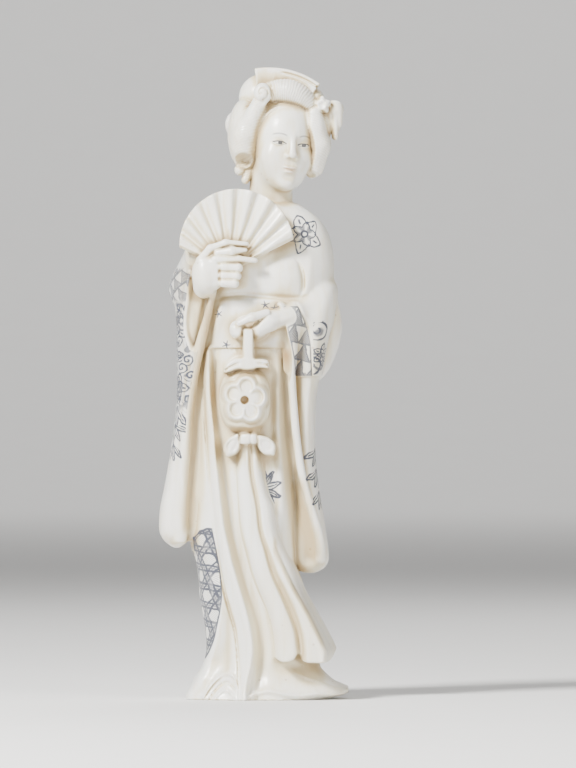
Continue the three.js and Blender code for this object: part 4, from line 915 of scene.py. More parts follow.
    def distance(self, at: Places) -> Array:
        """Distance to the whole head."""
        here = tuple(a - c for a, c in zip(at, self.centre))
        d = grow(at, self.face(here), (1.0, self.neck_foot, self.neck_top, 4.5, 4.2))
        return join(join(d, self.hair(here), 0.15), self.ornaments(here), 0.15)

    def strands(self, at: Places) -> dict[str, Array]:
        """Where the hair's strands run.

        Args:
            at: places in drawn millimetres.

        Returns:
            The place across the strands, and how much hair there is, from 0 to 1, by attribute name.
        """
        here = u, v, w = tuple(a - c for a, c in zip(at, self.centre))
        hair = self.hair(here)
        other = np.minimum(self.face(here), self.ornaments(here))
        shown = ease((other - hair - 0.05) / 0.3) * ease((0.4 - hair) / 0.3) * (self.low[2] < at[2])
        over_brow = ease((0.35 - self.roll(here)) / 0.3)
        behind = ease((v - 2.5) / 2)
        wing = w - 0.3 * (u + 7) * np.sign(-u) + 0.25 * v + 0.12 * np.sin(0.8 * u + 0.5 * w)
        nape = np.arctan2(u, v) * 7.0
        round_roll = np.arctan2(u - self.roll_centre[0], w - self.roll_centre[1]) * self.roll_radius
        across = mix(mix(wing, nape, behind), round_roll, over_brow)
        return {"strand_across": across + 0.05 * np.sin(1.7 * w + 2.3 * u),
                "strand_amount": shown * mix(0.55, 1.0, over_brow)}


@dataclass
class Figure:
    """The whole carving, one part after another, in drawn millimetres."""

    head: Head = field(default_factory=Head)
    fan_sleeve: FanSleeve = field(default_factory=FanSleeve)
    lantern_sleeve: LanternSleeve = field(default_factory=LanternSleeve)
    sole_round: float = 0.3
    share_depth: float = 0.35
    panel_edge: Line = Line((7.8, 9.8, 12.2, 15.4, 17.8, 20.6, 24.6, 27.8, 33.8, 36), (-13, -11.9, -11, -10.3, -9.8,
        -9.5, -9.7, -10.2, -11.4, -11.8))
    parts: list[CarvedPart] = field(default_factory=list)

    def __post_init__(self) -> None:
        """Lists the parts in the order in which they are joined."""
        self.parts = [Robe(), Valley(), self.fan_sleeve, self.lantern_sleeve, SashKnot(), Ribbons(), Lantern(),
                      StrapAndBow(), FanBacking(), Fan(), FanHand(), LanternHand(), Collar(), self.head]

    def distance(self, at: Places) -> Array:
        """Distance to the carving, below zero inside. A part counts only near its own box."""
        d = np.full(at[0].shape, 1e3)
        for part in self.parts:
            gaps = (np.maximum(np.maximum(low - a, a - high), 0) for a, low, high in zip(at, part.low, part.high))
            reach = np.maximum(d, 0) + part.fillet
            near = np.nonzero(sum(gap * gap for gap in gaps) < reach * reach)[0]
            if near.size:
                d[near] = join(d[near], part.distance(tuple(a[near] for a in at)), part.fillet)
        return both(d, -at[2], self.sole_round)

    def owners(self, at: Places) -> dict[type, Array]:
        """How deep each place on the surface lies in each part's own share.

        Args:
            at: places in drawn millimetres.

        Returns:
            For each part's class millimetres above zero where the surface is that part's.
        """
        found = {}
        for part in self.parts:
            held = [(a > low - 1) & (a < high + 1) for a, low, high in zip(at, part.low, part.high)]
            inside = np.nonzero(held[0] & held[1] & held[2])[0]
            depth = np.full(at[0].shape, -1.0)
            depth[inside] = np.clip(self.share_depth - part.distance(tuple(a[inside] for a in at)), -1, 1)
            found[type(part)] = depth
        return found

    def ink_zones(self, at: Places, out_y: Array) -> dict[str, Array]:
        """How far inside each inked zone a place lies, so that the finish can cut a sharp edge.

        Args:
            at: places in drawn millimetres.
            out_y: how far the surface looks to the back.

        Returns:
            Millimetres above zero inside the zone, for each zone's attribute.
        """
        x, y, z = at
        owned = self.owners(at)
        sleeve, robe, far_sleeve = owned[FanSleeve], owned[Robe], owned[LanternSleeve]
        others = np.minimum.reduce([-owned[kind] for kind in (Fan, FanHand, LanternHand, Ribbons, Lantern,
                                                              StrapAndBow, Head)])
        front = np.minimum(others, (0.3 - out_y) * 3)
        edge = np.where(z > 69.5, self.fan_sleeve.outer_edge.at_x(z), self.fan_sleeve.edge.at_x(z))
        inner, outer = self.lantern_sleeve.band_inner(z), self.lantern_sleeve.band_edge(z)
        zones = {"zone_front": (front,),
                 "zone_sleeve": (sleeve, others, edge - 0.1 - x, 7 - y),
                 "zone_panel": (robe, -sleeve, self.panel_edge(z) - x, z - 8, 4 - y),
                 "zone_cuff": (far_sleeve + 0.4, others, outer - x, x - inner, z - 64.5, 78.4 - z, -out_y * 3),
                 "zone_low_sleeve": (far_sleeve, front, x - 8.6, z - 64.6, 75.5 - z)}
        return {name: np.clip(np.minimum.reduce(depths), -2, 2) for name, depths in zones.items()}

    def cloth_place(self, at: Places) -> Array:
        """Unrolls the cloth at both sides, so that patterns keep their shape round them.

        Args:
            at: places in drawn millimetres.

        Returns:
            The unrolled place of each point: across and up.
        """
        x, y, z = at
        axis = np.where(x > 0, 7.5, np.where(z > 44, 16.0, 10.0))
        turned = np.arctan2(np.maximum(np.abs(x) - axis, 0), np.maximum(-y, -6) + 1e-6)
        across = np.where(np.abs(x) > axis, axis + 6 * turned, np.abs(x))
        return np.stack([np.copysign(across, x), z, np.zeros(len(z))], 1)


@dataclass
class Chisel:
    """Turns the carving's distances into a closed mesh, fine where the carving is fine."""

    field_of: Callable[[Places], Array]
    low: Point = (-24.0, -16.0, -1.5)
    high: Point = (18.5, 14.5, 127.5)
    cell: float = 0.25
    block: int = 4
    near: float = 1.9
    chunk: int = 400000
    fill_depth: float = 0.02
    longest_move: float = 0.4

    def sample(self, at: Places) -> Array:
        """Distances at many places, worked out a chunk at a time."""
        starts = range(0, len(at[0]), self.chunk)
        return np.concatenate([self.field_of(tuple(a[n:n + self.chunk] for a in at)) for n in starts])

    def grid(self) -> Array:
        """Distances on the grid's corners, close ones only near the surface.

        Returns:
            An array over x, y and z.
        """
        blocks = [math.ceil((h - l) / self.cell / self.block) for l, h in zip(self.low, self.high)]
        step = self.block * self.cell
        middles = [l + (np.arange(n) + 0.5) * step - self.cell / 2 for l, n in zip(self.low, blocks)]
        coarse = self.sample([m.ravel() for m in np.meshgrid(*middles, indexing="ij")])
        value = coarse.reshape(blocks).astype(np.float32)
        for axis in range(3):
            value = np.repeat(value, self.block, axis=axis)
        close = np.nonzero(np.abs(coarse) < self.near * step)[0]
        corner = [n * self.block for n in np.unravel_index(close, blocks)]
        inner = [n.ravel() for n in np.meshgrid(*[np.arange(self.block)] * 3, indexing="ij")]
        spots = tuple((c[:, None] + n[None, :]).ravel() for c, n in zip(corner, inner))
        value[spots] = self.sample([l + n * self.cell for l, n in zip(self.low, spots)])
        return value

    def fill_touching(self, value: Array, code: Array, reach: Array) -> None:
        """Fills gaps where the surface would touch itself along an edge or at a corner.

        Args:
            value: the flat grid of distances, changed in place.
            code: which of a cell's eight corners are inside, one bit each, changed in place.
            reach: steps from a cell's first corner to each of its eight.
        """
        sides = ((0, 1, 3, 2), (4, 5, 7, 6), (0, 1, 5, 4), (2, 3, 7, 6), (0, 2, 6, 4), (1, 3, 7, 5))
        pairs = (0b10000001, 0b01000010, 0b00100100, 0b00011000)
        fill = np.full(256, -1, np.int64)
        for inside in range(1, 255):
            bit = [inside >> c & 1 for c in range(8)]
            ring = next((s for s in sides if bit[s[0]] == bit[s[2]] != bit[s[1]] == bit[s[3]]), None)
            if ring is None and inside in pairs or inside ^ 255 in pairs:
                ring = range(8)
            if ring is not None:
                fill[inside] = next(c for c in ring if not bit[c])
        look = np.nonzero((code > 0) & (code < 255))[0]
        while look.size:
            bad = look[fill[code[look]] >= 0]
            corners = np.unique(bad + reach[fill[code[bad]]])
            value[corners] = -self.fill_depth * self.cell
            look = np.unique((corners[:, None] - reach[None, :]).ravel())
            inside = value[look[:, None] + reach[None, :]] < 0
            code[look] = (inside * (1 << np.arange(8))).sum(1).astype(np.uint8)

    def net(self) -> tuple[Array, Array]:
        """Meshes the grid with one point to each cell that the surface crosses.

        Returns:
            The points and the triangles.
        """
        value = self.grid()
        shape = value.shape
        step = np.array([shape[1] * shape[2], shape[2], 1])
        offset = np.array([[c & 1, c >> 1 & 1, c >> 2] for c in range(8)])
        reach = offset @ step
        inside = value < 0
        code = np.zeros(shape, np.uint8)
        for c, (a, b, e) in enumerate(offset):
            part = inside[a:shape[0] - 1 + a, b:shape[1] - 1 + b, e:shape[2] - 1 + e]
            code[:-1, :-1, :-1] |= part.astype(np.uint8) << c
        value, code = value.ravel(), code.ravel()
        self.fill_touching(value, code, reach)
        cells = np.nonzero((code > 0) & (code < 255))[0]
        total, count = np.zeros((cells.size, 3)), np.zeros(cells.size)
        for a in range(8):
            for b in (a | 1, a | 2, a | 4):
                if b == a:
                    continue
                va, vb = value[cells + reach[a]].astype(float), value[cells + reach[b]].astype(float)
                crossed = (va < 0) != (vb < 0)
                t = np.where(crossed, va / np.where(crossed, va - vb, 1.0), 0.0)
                total += (offset[a] + (offset[b] - offset[a]) * t[:, None]) * crossed[:, None]
                count += crossed
        home = np.stack(np.unravel_index(cells, shape), 1)
        points = np.array(self.low) + (home + total / count[:, None]) * self.cell
        point_at = np.full(value.size, -1, np.int64)
        point_at[cells] = np.arange(cells.size)
        sign = value < 0
        triangles = []
        for axis in range(3):
            one, two = step[(axis + 1) % 3], step[(axis + 2) % 3]
            edge = np.nonzero(sign[:-step[axis]] != sign[step[axis]:])[0]
            ring = np.stack([point_at[edge], point_at[edge - one], point_at[edge - one - two], point_at[edge - two]], 1)
            ring = np.where(sign[edge][:, None], ring, ring[:, ::-1])
            flat = np.linalg.norm(points[ring[:, 0]] - points[ring[:, 2]], axis=1)
            cross = np.linalg.norm(points[ring[:, 1]] - points[ring[:, 3]], axis=1)
            turned = np.where((cross < flat)[:, None], np.roll(ring, 1, axis=1), ring)
            triangles += [turned[:, [0, 1, 2]], turned[:, [0, 2, 3]]]
        return points, np.concatenate(triangles)

    def refine(self, points: Array, triangles: Array, spots: Sequence[tuple[Point, Point]]) -> tuple[Array, Array]:
        """Splits the edges inside some boxes in two, and mends the triangles round them.

        Args:
            points: the mesh's points.
            triangles: its triangles.
            spots: the low and high corner of each box.

        Returns:
            The new points and triangles.
        """
        fine = np.zeros(len(points), bool)
        for low, high in spots:
            fine |= np.all((points > low) & (points < high), axis=1)
        pair = np.sort(np.stack([triangles, np.roll(triangles, -1, axis=1)], 2).reshape(-1, 2), axis=1)
        edges, which = np.unique(pair[:, 0] * len(points) + pair[:, 1], return_inverse=True)
        a, b = edges // len(points), edges % len(points)
        split = fine[a] & fine[b]
        middle = np.full(len(edges), -1, np.int64)
        middle[split] = len(points) + np.arange(split.sum())
        points = np.concatenate([points, (points[a[split]] + points[b[split]]) / 2])
        mids = middle[which].reshape(-1, 3)
        marks = (mids >= 0) @ np.array([1, 2, 4])
        # Columns 0 to 2 are a triangle's corners, 3 to 5 the middles of its edges.
        whole = np.concatenate([triangles, mids], axis=1)[marks == 7]
        made = [triangles[marks == 0], *(whole[:, c] for c in ([0, 3, 5], [3, 1, 4], [5, 4, 2], [3, 4, 5]))]
        for turn in range(3):
            turned = np.concatenate([np.roll(triangles, -turn, axis=1), np.roll(mids, -turn, axis=1)], axis=1)
            first, second, third = (turned[:, 3:] >= 0).T
            once, twice = turned[first & ~second & ~third], turned[first & second & ~third]
            made += [once[:, c] for c in ([0, 3, 2], [3, 1, 2])]
            made += [twice[:, c] for c in ([3, 1, 4], [0, 3, 4], [0, 4, 2])]
        return points, np.concatenate(made)

    def slope(self, points: Array, step: float = 0.03) -> tuple[Array, Array]:
        """Distances and their slopes at the points.

        Args:
            points: places in drawn millimetres.
            step: how far apart the distances are compared.

        Returns:
            The distance and the slope at each point.
        """
        here = self.sample(points.T)
        corners = np.array([[1, 1, 1], [1, -1, -1], [-1, 1, -1], [-1, -1, 1]], float)
        slope = sum(self.sample((points + c * step).T)[:, None] * c for c in corners)
        return here, slope / (4 * step)

    def settle(self, points: Array, passes: int = 2) -> Array:
        """Moves the points onto the carving's true surface.

        Args:
            points: places near the surface.
            passes: how often the points are moved.

        Returns:
            The moved points.
        """
        for _ in range(passes):
            here, slope = self.slope(points)
            size = np.maximum((slope * slope).sum(1), 0.25)
            move = slope * (here / size)[:, None]
            long = np.linalg.norm(move, axis=1)
            points = points - move * np.minimum(1, self.longest_move * self.cell / np.maximum(long, TINY))[:, None]
        return points


def math_step(operation: str) -> "Callable[..., Signal]":
    """Makes a method of a signal that adds one Math node, which takes the signal first."""
    def step(self: "Signal", *others: "Signal | float") -> "Signal":
        """Gives the node's result."""
        return self.do(operation, *others)
    return step


class Signal:
    """A number that changes over the surface, so that a finish reads as a formula."""

    def __init__(self, tree: NodeTree, socket: NodeSocket | float) -> None:
        """Wraps a socket or a plain number."""
        self.tree = tree
        self.socket = socket

    def do(self, operation: str, *others: "Signal | float") -> "Signal":
        """Adds one Math node.

        Args:
            operation: the node's operation.
            others: the second and third value.

        Returns:
            The node's result.
        """
        node = add(self.tree, "ShaderNodeMath", dict(enumerate((self, *others))), operation=operation)
        return Signal(self.tree, node.outputs[0])

    __add__, __sub__, __mul__, __truediv__, size, larger = (
        math_step(kind) for kind in ("ADD", "SUBTRACT", "MULTIPLY", "DIVIDE", "ABSOLUTE", "MAXIMUM"))

    def within(self, low: float, high: float) -> "Signal":
        """Rises smoothly from 0 at low to 1 at high, or falls where high is the smaller."""
        falls = high < low
        ends = {"From Min": min(low, high), "From Max": max(low, high), "To Min": float(falls), "To Max": 1.0 - falls}
        node = add(self.tree, "ShaderNodeMapRange", {"Value": self, **ends}, interpolation_type="SMOOTHSTEP")
        return Signal(self.tree, node.outputs["Result"])

    def line(self, half: float) -> "Signal":
        """A drawn line where the value passes through 0."""
        return self.size().within(half * 1.4, half * 0.75)


def place(tree: NodeTree, socket: NodeSocket, value: object) -> None:
    """Puts a signal, a socket or a plain value on an input."""
    if isinstance(value, Signal):
        value = value.socket
    if isinstance(value, NodeSocket):
        tree.links.new(value, socket)
    else:
        socket.default_value = value


def add(tree: NodeTree, kind: str, inputs: dict[str | int, object] | None = None,
        **settings: object) -> Node:
    """Adds a node.

    Args:
        tree: the tree that gets it.
        kind: the node's type.
        inputs: what goes on its inputs, by name or number.
        settings: the node's own choices, made before its inputs are filled.

    Returns:
        The node.
    """
    node = tree.nodes.new(kind)
    for name, value in settings.items():
        setattr(node, name, value)
    for key, value in (inputs or {}).items():
        place(tree, node.inputs[key], value)
    return node


def parted(where: Signal) -> tuple[Signal, ...]:
    """The three numbers of a place."""
    node = add(where.tree, "ShaderNodeSeparateXYZ", {0: where})
    return tuple(Signal(where.tree, output) for output in node.outputs)


def blank_material(name: str) -> tuple[Material, NodeTree, Node]:
    """Makes a material, and gives back its tree and its shader too."""
    made = bpy.data.materials.new(name)
    made.use_nodes = True
    return made, made.node_tree, made.node_tree.nodes["Principled BSDF"]


def link(name: str, data: ID) -> Object:
    """Makes an object of its data and puts it into the scene."""
    made = bpy.data.objects.new(name, data)
    bpy.context.scene.collection.objects.link(made)
    return made


Given = dict[str, Signal]  # a drawing's sizes, by name


@dataclass(frozen=True)
class InkMotif:
    """A drawn pattern as a shader node group, with named inputs, that puts out where the ink lies."""

    name: str
    sizes: tuple[tuple[str, float], ...]
    draw: Callable[[Signal, Signal, Given], Signal]

    def group(self) -> ShaderNodeTree:
        """Builds the group once and gives it back."""
        if self.name in bpy.data.node_groups:
            return bpy.data.node_groups[self.name]
        tree = bpy.data.node_groups.new(self.name, "ShaderNodeTree")
        tree.interface.new_socket("Place", in_out="INPUT", socket_type="NodeSocketVector")
        for name, value in self.sizes:
            tree.interface.new_socket(name, in_out="INPUT", socket_type="NodeSocketFloat").default_value = value
        tree.interface.new_socket("Ink", in_out="OUTPUT", socket_type="NodeSocketFloat")
        inside = add(tree, "NodeGroupInput").outputs
        given = {name: Signal(tree, inside[name]) for name, _ in self.sizes}
        u, v, _ = parted(Signal(tree, inside["Place"]))
        add(tree, "NodeGroupOutput", {"Ink": self.draw(u, v, given)})
        return tree

    def ink(self, where: Signal, at: Point, turn: float, *sizes: float) -> Signal:
        """Draws the motif in a material.

        Args:
            where: the unrolled place on the cloth.
            at: the motif's middle, across and up.
            turn: how far it is turned, in degrees.
            sizes: values for the group's inputs, in their order.

        Returns:
            The ink's mask.
        """
        moved = add(where.tree, "ShaderNodeMapping", {"Location": (*at, 0), "Rotation": (0, 0, math.radians(turn)),
                                                      "Vector": where}, vector_type="TEXTURE")
        given = {name: size for (name, _), size in zip(self.sizes, sizes)}
        node = add(where.tree, "ShaderNodeGroup", {"Place": moved.outputs[0], **given}, node_tree=self.group())
        return Signal(where.tree, node.outputs["Ink"])


def drawn(where: Signal, *motifs: tuple) -> Signal:
    """Draws motifs as one ink, each given with its middle, its turn and its sizes."""
    return reduce(Signal.larger, [motif.ink(where, *placing) for motif, *placing in motifs])


LINE_HALF = 0.19  # half of an inked line's width, in millimetres


def draw_flower(u: Signal, v: Signal, given: Given) -> Signal:
    """A blossom with two rings of pointed petals, their veins and a dark hatched heart."""
    reach = (u * u + v * v).do("SQRT")
    share = reach / given["Radius"]
    turns = u.do("ARCTAN2", v) * given["Petals"] / (2 * math.pi)
    between = turns.do("PINGPONG", 0.5) * 2.0
    edge = given["Radius"] * (between.do("POWER", 1.15) * -0.46 + 1.0)
    outline = (reach - edge).line(LINE_HALF)
    inner_between = (turns + 0.5).do("PINGPONG", 0.5) * 2.0
    inner_edge = given["Radius"] * (inner_between.do("POWER", 1.1) * -0.26 + 0.62)
    inner = (reach - inner_edge).line(LINE_HALF * 0.9)
    vein = (between * reach * 0.45).line(LINE_HALF * 0.6) * share.within(0.5, 0.58) * share.within(0.85, 0.75)
    heart = (share - 0.16).line(0.05)
    hatch = (u * 1.1 + v * 0.8).do("PINGPONG", 0.16).within(0.02, 0.1) * 0.3 + 0.6
    fill = hatch * (reach - inner_edge).within(0.0, -0.1) * share.within(0.17, 0.2) * inner_between.within(0.15, 0.6)
    return outline.larger(inner).larger(vein).larger(heart).larger(fill)


def draw_leaves(u: Signal, v: Signal, given: Given) -> Signal:
    """Slender leaves that spread from one point."""
    reach = (u * u + v * v).do("SQRT")
    angle = u.do("ARCTAN2", v)
    count, spread = given["Leaves"], given["Spread"]
    turn = (angle / spread + 0.5) * count
    off = (turn.do("FRACT") - 0.5) * spread / count * reach
    share = reach / given["Length"]
    half = (share * math.pi).do("SINE") * given["Length"] * 0.135
    shown = share.within(1.02, 0.98) * (angle / spread).size().within(0.5, 0.48)
    outline = (off.size() - half).line(LINE_HALF * 0.9)
    vein = off.line(LINE_HALF * 0.6) * share.within(0.85, 0.75)
    return outline.larger(vein) * shown


def draw_scrolls(u: Signal, v: Signal, given: Given) -> Signal:
    """Curling scrolls, one to each cell, with stems between them."""
    tree, pitch = u.tree, given["Pitch"]
    joined = add(tree, "ShaderNodeCombineXYZ", {0: u, 1: v}).outputs[0]
    cells = add(tree, "ShaderNodeTexVoronoi", {"Vector": joined, "Scale": Signal(tree, 1.0) / pitch,
                                               "Randomness": 0.75}, voronoi_dimensions="2D")
    spot = add(tree, "ShaderNodeVectorMath", {0: joined, 1: cells.outputs["Position"]}, operation="SUBTRACT")
    a, b, _ = parted(Signal(tree, spot.outputs[0]))
    reach = (a * a + b * b).do("SQRT")
    arm = reach / (pitch * 0.3) - a.do("ARCTAN2", b) / (2 * math.pi)
    spiral = (arm.do("PINGPONG", 0.5) * pitch * 0.3).line(LINE_HALF) * (reach / pitch).within(0.5, 0.44)
    sway = add(tree, "ShaderNodeTexNoise", {"Vector": joined, "Detail": 0.0, "Scale": Signal(tree, 0.8) / pitch})
    stems = (Signal(tree, sway.outputs["Fac"]) * 3.0).do("PINGPONG", 0.5) * pitch * 0.5
    return spiral.larger(stems.line(LINE_HALF) * 0.85)


def draw_lattice(u: Signal, v: Signal, given: Given) -> Signal:
    """Three crossing sets of straps, as in basket work, with dark triangles between them."""
    pitch, strap = given["Pitch"], given["Strap"]
    lines, total, clear, woven = (Signal(u.tree, start) for start in (0.0, 0.0, 1.0, 0.0))
    for degrees, wash in ((90, 0.42), (30, 0.6), (150, 0.42)):
        angle = math.radians(degrees)
        off = (((u * math.cos(angle) + v * math.sin(angle)) / pitch).do("FRACT") - 0.5).size() * pitch
        lines = lines.larger((off - strap).line(LINE_HALF * 1.15)).larger(off.line(LINE_HALF * 0.6) * 0.8)
        clear = clear * off.within(0.24, 0.36)
        woven = woven.larger((off - strap).within(0.0, -0.15) * wash)
        total = total + off
    triangle = (total - pitch * 0.56).within(0.04, -0.04) * clear
    hatch = (v + u * 0.5).do("PINGPONG", 0.17).within(0.04, 0.12) * clear * 0.42
    return lines.larger(triangle * 0.85).larger(hatch).larger(woven)


def draw_triangles(u: Signal, v: Signal, given: Given) -> Signal:
    """Rows of triangles, every other one hatched."""
    pitch = given["Pitch"]
    wave = (u / pitch).do("PINGPONG", 0.5) * 2.0
    row = (v / (pitch * 1.15)).do("FRACT")
    edge = ((row - wave) * pitch * 0.5).line(LINE_HALF * 0.8)
    rule = ((row - 0.5).size() - 0.5).size() * pitch
    hatch = (u * 0.8 + v).do("PINGPONG", 0.15).within(0.03, 0.09) * 0.35 + 0.55
    return (edge.larger(rule.line(LINE_HALF * 0.8)) * 0.9).larger((row - wave).within(0.05, -0.05) * hatch)


def draw_star(u: Signal, v: Signal, given: Given) -> Signal:
    """A small star of brush strokes."""
    reach = (u * u + v * v).do("SQRT")
    off = ((u.do("ARCTAN2", v) / (2 * math.pi) * given["Strokes"]).do("PINGPONG", 0.5)) * reach
    taper = (reach / given["Length"]) * -0.22 + 0.3
    return (off - taper * 0.5).within(0.05, -0.05) * (reach / given["Length"]).within(1.0, 0.85)


FLOWER = InkMotif("ink_flower", (("Radius", 3.0), ("Petals", 6.0)), draw_flower)
LEAVES = InkMotif("ink_leaves", (("Length", 3.0), ("Leaves", 4.0), ("Spread", 2.4)), draw_leaves)
SCROLLS = InkMotif("ink_scrolls", (("Pitch", 2.6),), draw_scrolls)
LATTICE = InkMotif("ink_lattice", (("Pitch", 3.1), ("Strap", 0.42)), draw_lattice)
TRIANGLES = InkMotif("ink_triangles", (("Pitch", 2.4),), draw_triangles)
STAR = InkMotif("ink_star", (("Length", 0.9), ("Strokes", 5.0)), draw_star)


class Painter:
    """Lays colours over one another in one material's tree."""

    def __init__(self, tree: NodeTree) -> None:
        """Keeps the tree that is painted in."""
        self.tree = tree

    def attribute(self, name: str, vector: bool = False) -> Signal:
        """Reads a stored number or place."""
        node = add(self.tree, "ShaderNodeAttribute", attribute_name=name)
        return Signal(self.tree, node.outputs["Vector" if vector else "Fac"])

    def noise(self, where: object, scale: float, stretch: Point = (1, 1, 1), detail: float = 2.0) -> Signal:
        """Adds noise.

        Args:
            where: the coordinates' socket or signal.
            scale: how fine the noise is.
            stretch: how each direction is scaled first.
            detail: how many finer layers it has.

        Returns:
            The noise, from 0 to 1.
        """
        scaled = add(self.tree, "ShaderNodeMapping", {"Scale": stretch, "Vector": where}).outputs[0]
        node = add(self.tree, "ShaderNodeTexNoise", {"Vector": scaled, "Scale": scale, "Detail": detail})
        return Signal(self.tree, node.outputs["Fac"])

    def over(self, under: object, *layers: tuple[Point, Signal]) -> NodeSocket:
        """Lays colours over what is there, one after another.

        Args:
            under: the colour below, a socket or plain values.
            layers: each colour with how much of it shows.

        Returns:
            The mixed colour's socket.
        """
        for colour, share in layers:
            under = under if isinstance(under, NodeSocket) else (*under, 1)
            node = add(self.tree, "ShaderNodeMix", {"Factor": share, "A": under, "B": (*colour, 1)}, data_type="RGBA")
            under = node.outputs["Result"]
        return under


@dataclass(frozen=True)
class ShadeAndStainStreak:
    """A tanned streak that follows a line seen from the front: painted shade along a valley, groove or hollow, and in
    the cuff an amber stain.
    """

    path: Line
    half: float
    strength: float
    low: float
    high: float
    fade: float = 3.0

    def share(self, x: Array, z: Array) -> Array:
        """How strong the streak is at each place."""
        ends = ease((z - self.low) / self.fade) * ease((self.high - z) / self.fade)
        return self.strength * np.exp(-((x - self.path(z)) / self.half) ** 2) * ends


# Tan streaks of painted shade along the valleys, grooves and hollows seen from the front, and one amber stain.
SHADE_AND_STAIN_STREAKS = (
    ShadeAndStainStreak(Line((32, 44, 52, 62, 70, 80), (-16.4, -15.7, -15.3, -14.5, -13.3, -11.4)), 1.3, 0.85, 32, 82),
    ShadeAndStainStreak(Line((30, 36, 42, 50, 60, 68), (7.5, 5.6, 4.1, 3.1, 2.4, 2.1)), 1.7, 0.38, 28, 70, 5),
    ShadeAndStainStreak(Line((26, 32, 36, 42), (8.4, 7.6, 6.6, 5.4)), 1.9, 0.95, 25.5, 46, 4),
    ShadeAndStainStreak(Line((*SKIRT, 38.8, 45.4, 50.7), (5.9, 5.4, 4.1, 2.3, 0.5, -0.7, -1.9, -2.5, -3.9, -4.1)), 0.5, 0.7, 8, 51),
    ShadeAndStainStreak(Line((9.8, 13.8, 17.8, 21.8, 25.8, 29.8), (11, 9.2, 7.2, 4.9, 2.9, 1.1)), 0.55, 0.55, 9, 34),
    ShadeAndStainStreak(Line((3.8, 9.8, 13.8, 17.8, 21.8, 25.8, 33.8, 45, 60), (-2.3, -1.6, -2, -2.8, -3.9, -5.2, -7.2, -8.8, -10)),
        1.1, 0.36, 2, 62, 5),
    ShadeAndStainStreak(Line((2, 4, 7.6), (9.4, 7.4, 4.2)), 2.6, 0.4, 2, 8, 1.5),
    ShadeAndStainStreak(Line((5, 10, 14, 20), (-8.6, -8.4, -8.2, -9)), 1.0, 0.4, 3, 21, 4),
    ShadeAndStainStreak(Line((78, 82), (-14.6, -14.2)), 1.2, 0.4, 66, 80, 4),
    # The amber stain in the lantern sleeve's cuff.
    ShadeAndStainStreak(Line((64, 67, 71), (3.4, 3.3, 2.4)), 0.8, 1.0, 64, 72.5, 2),
)


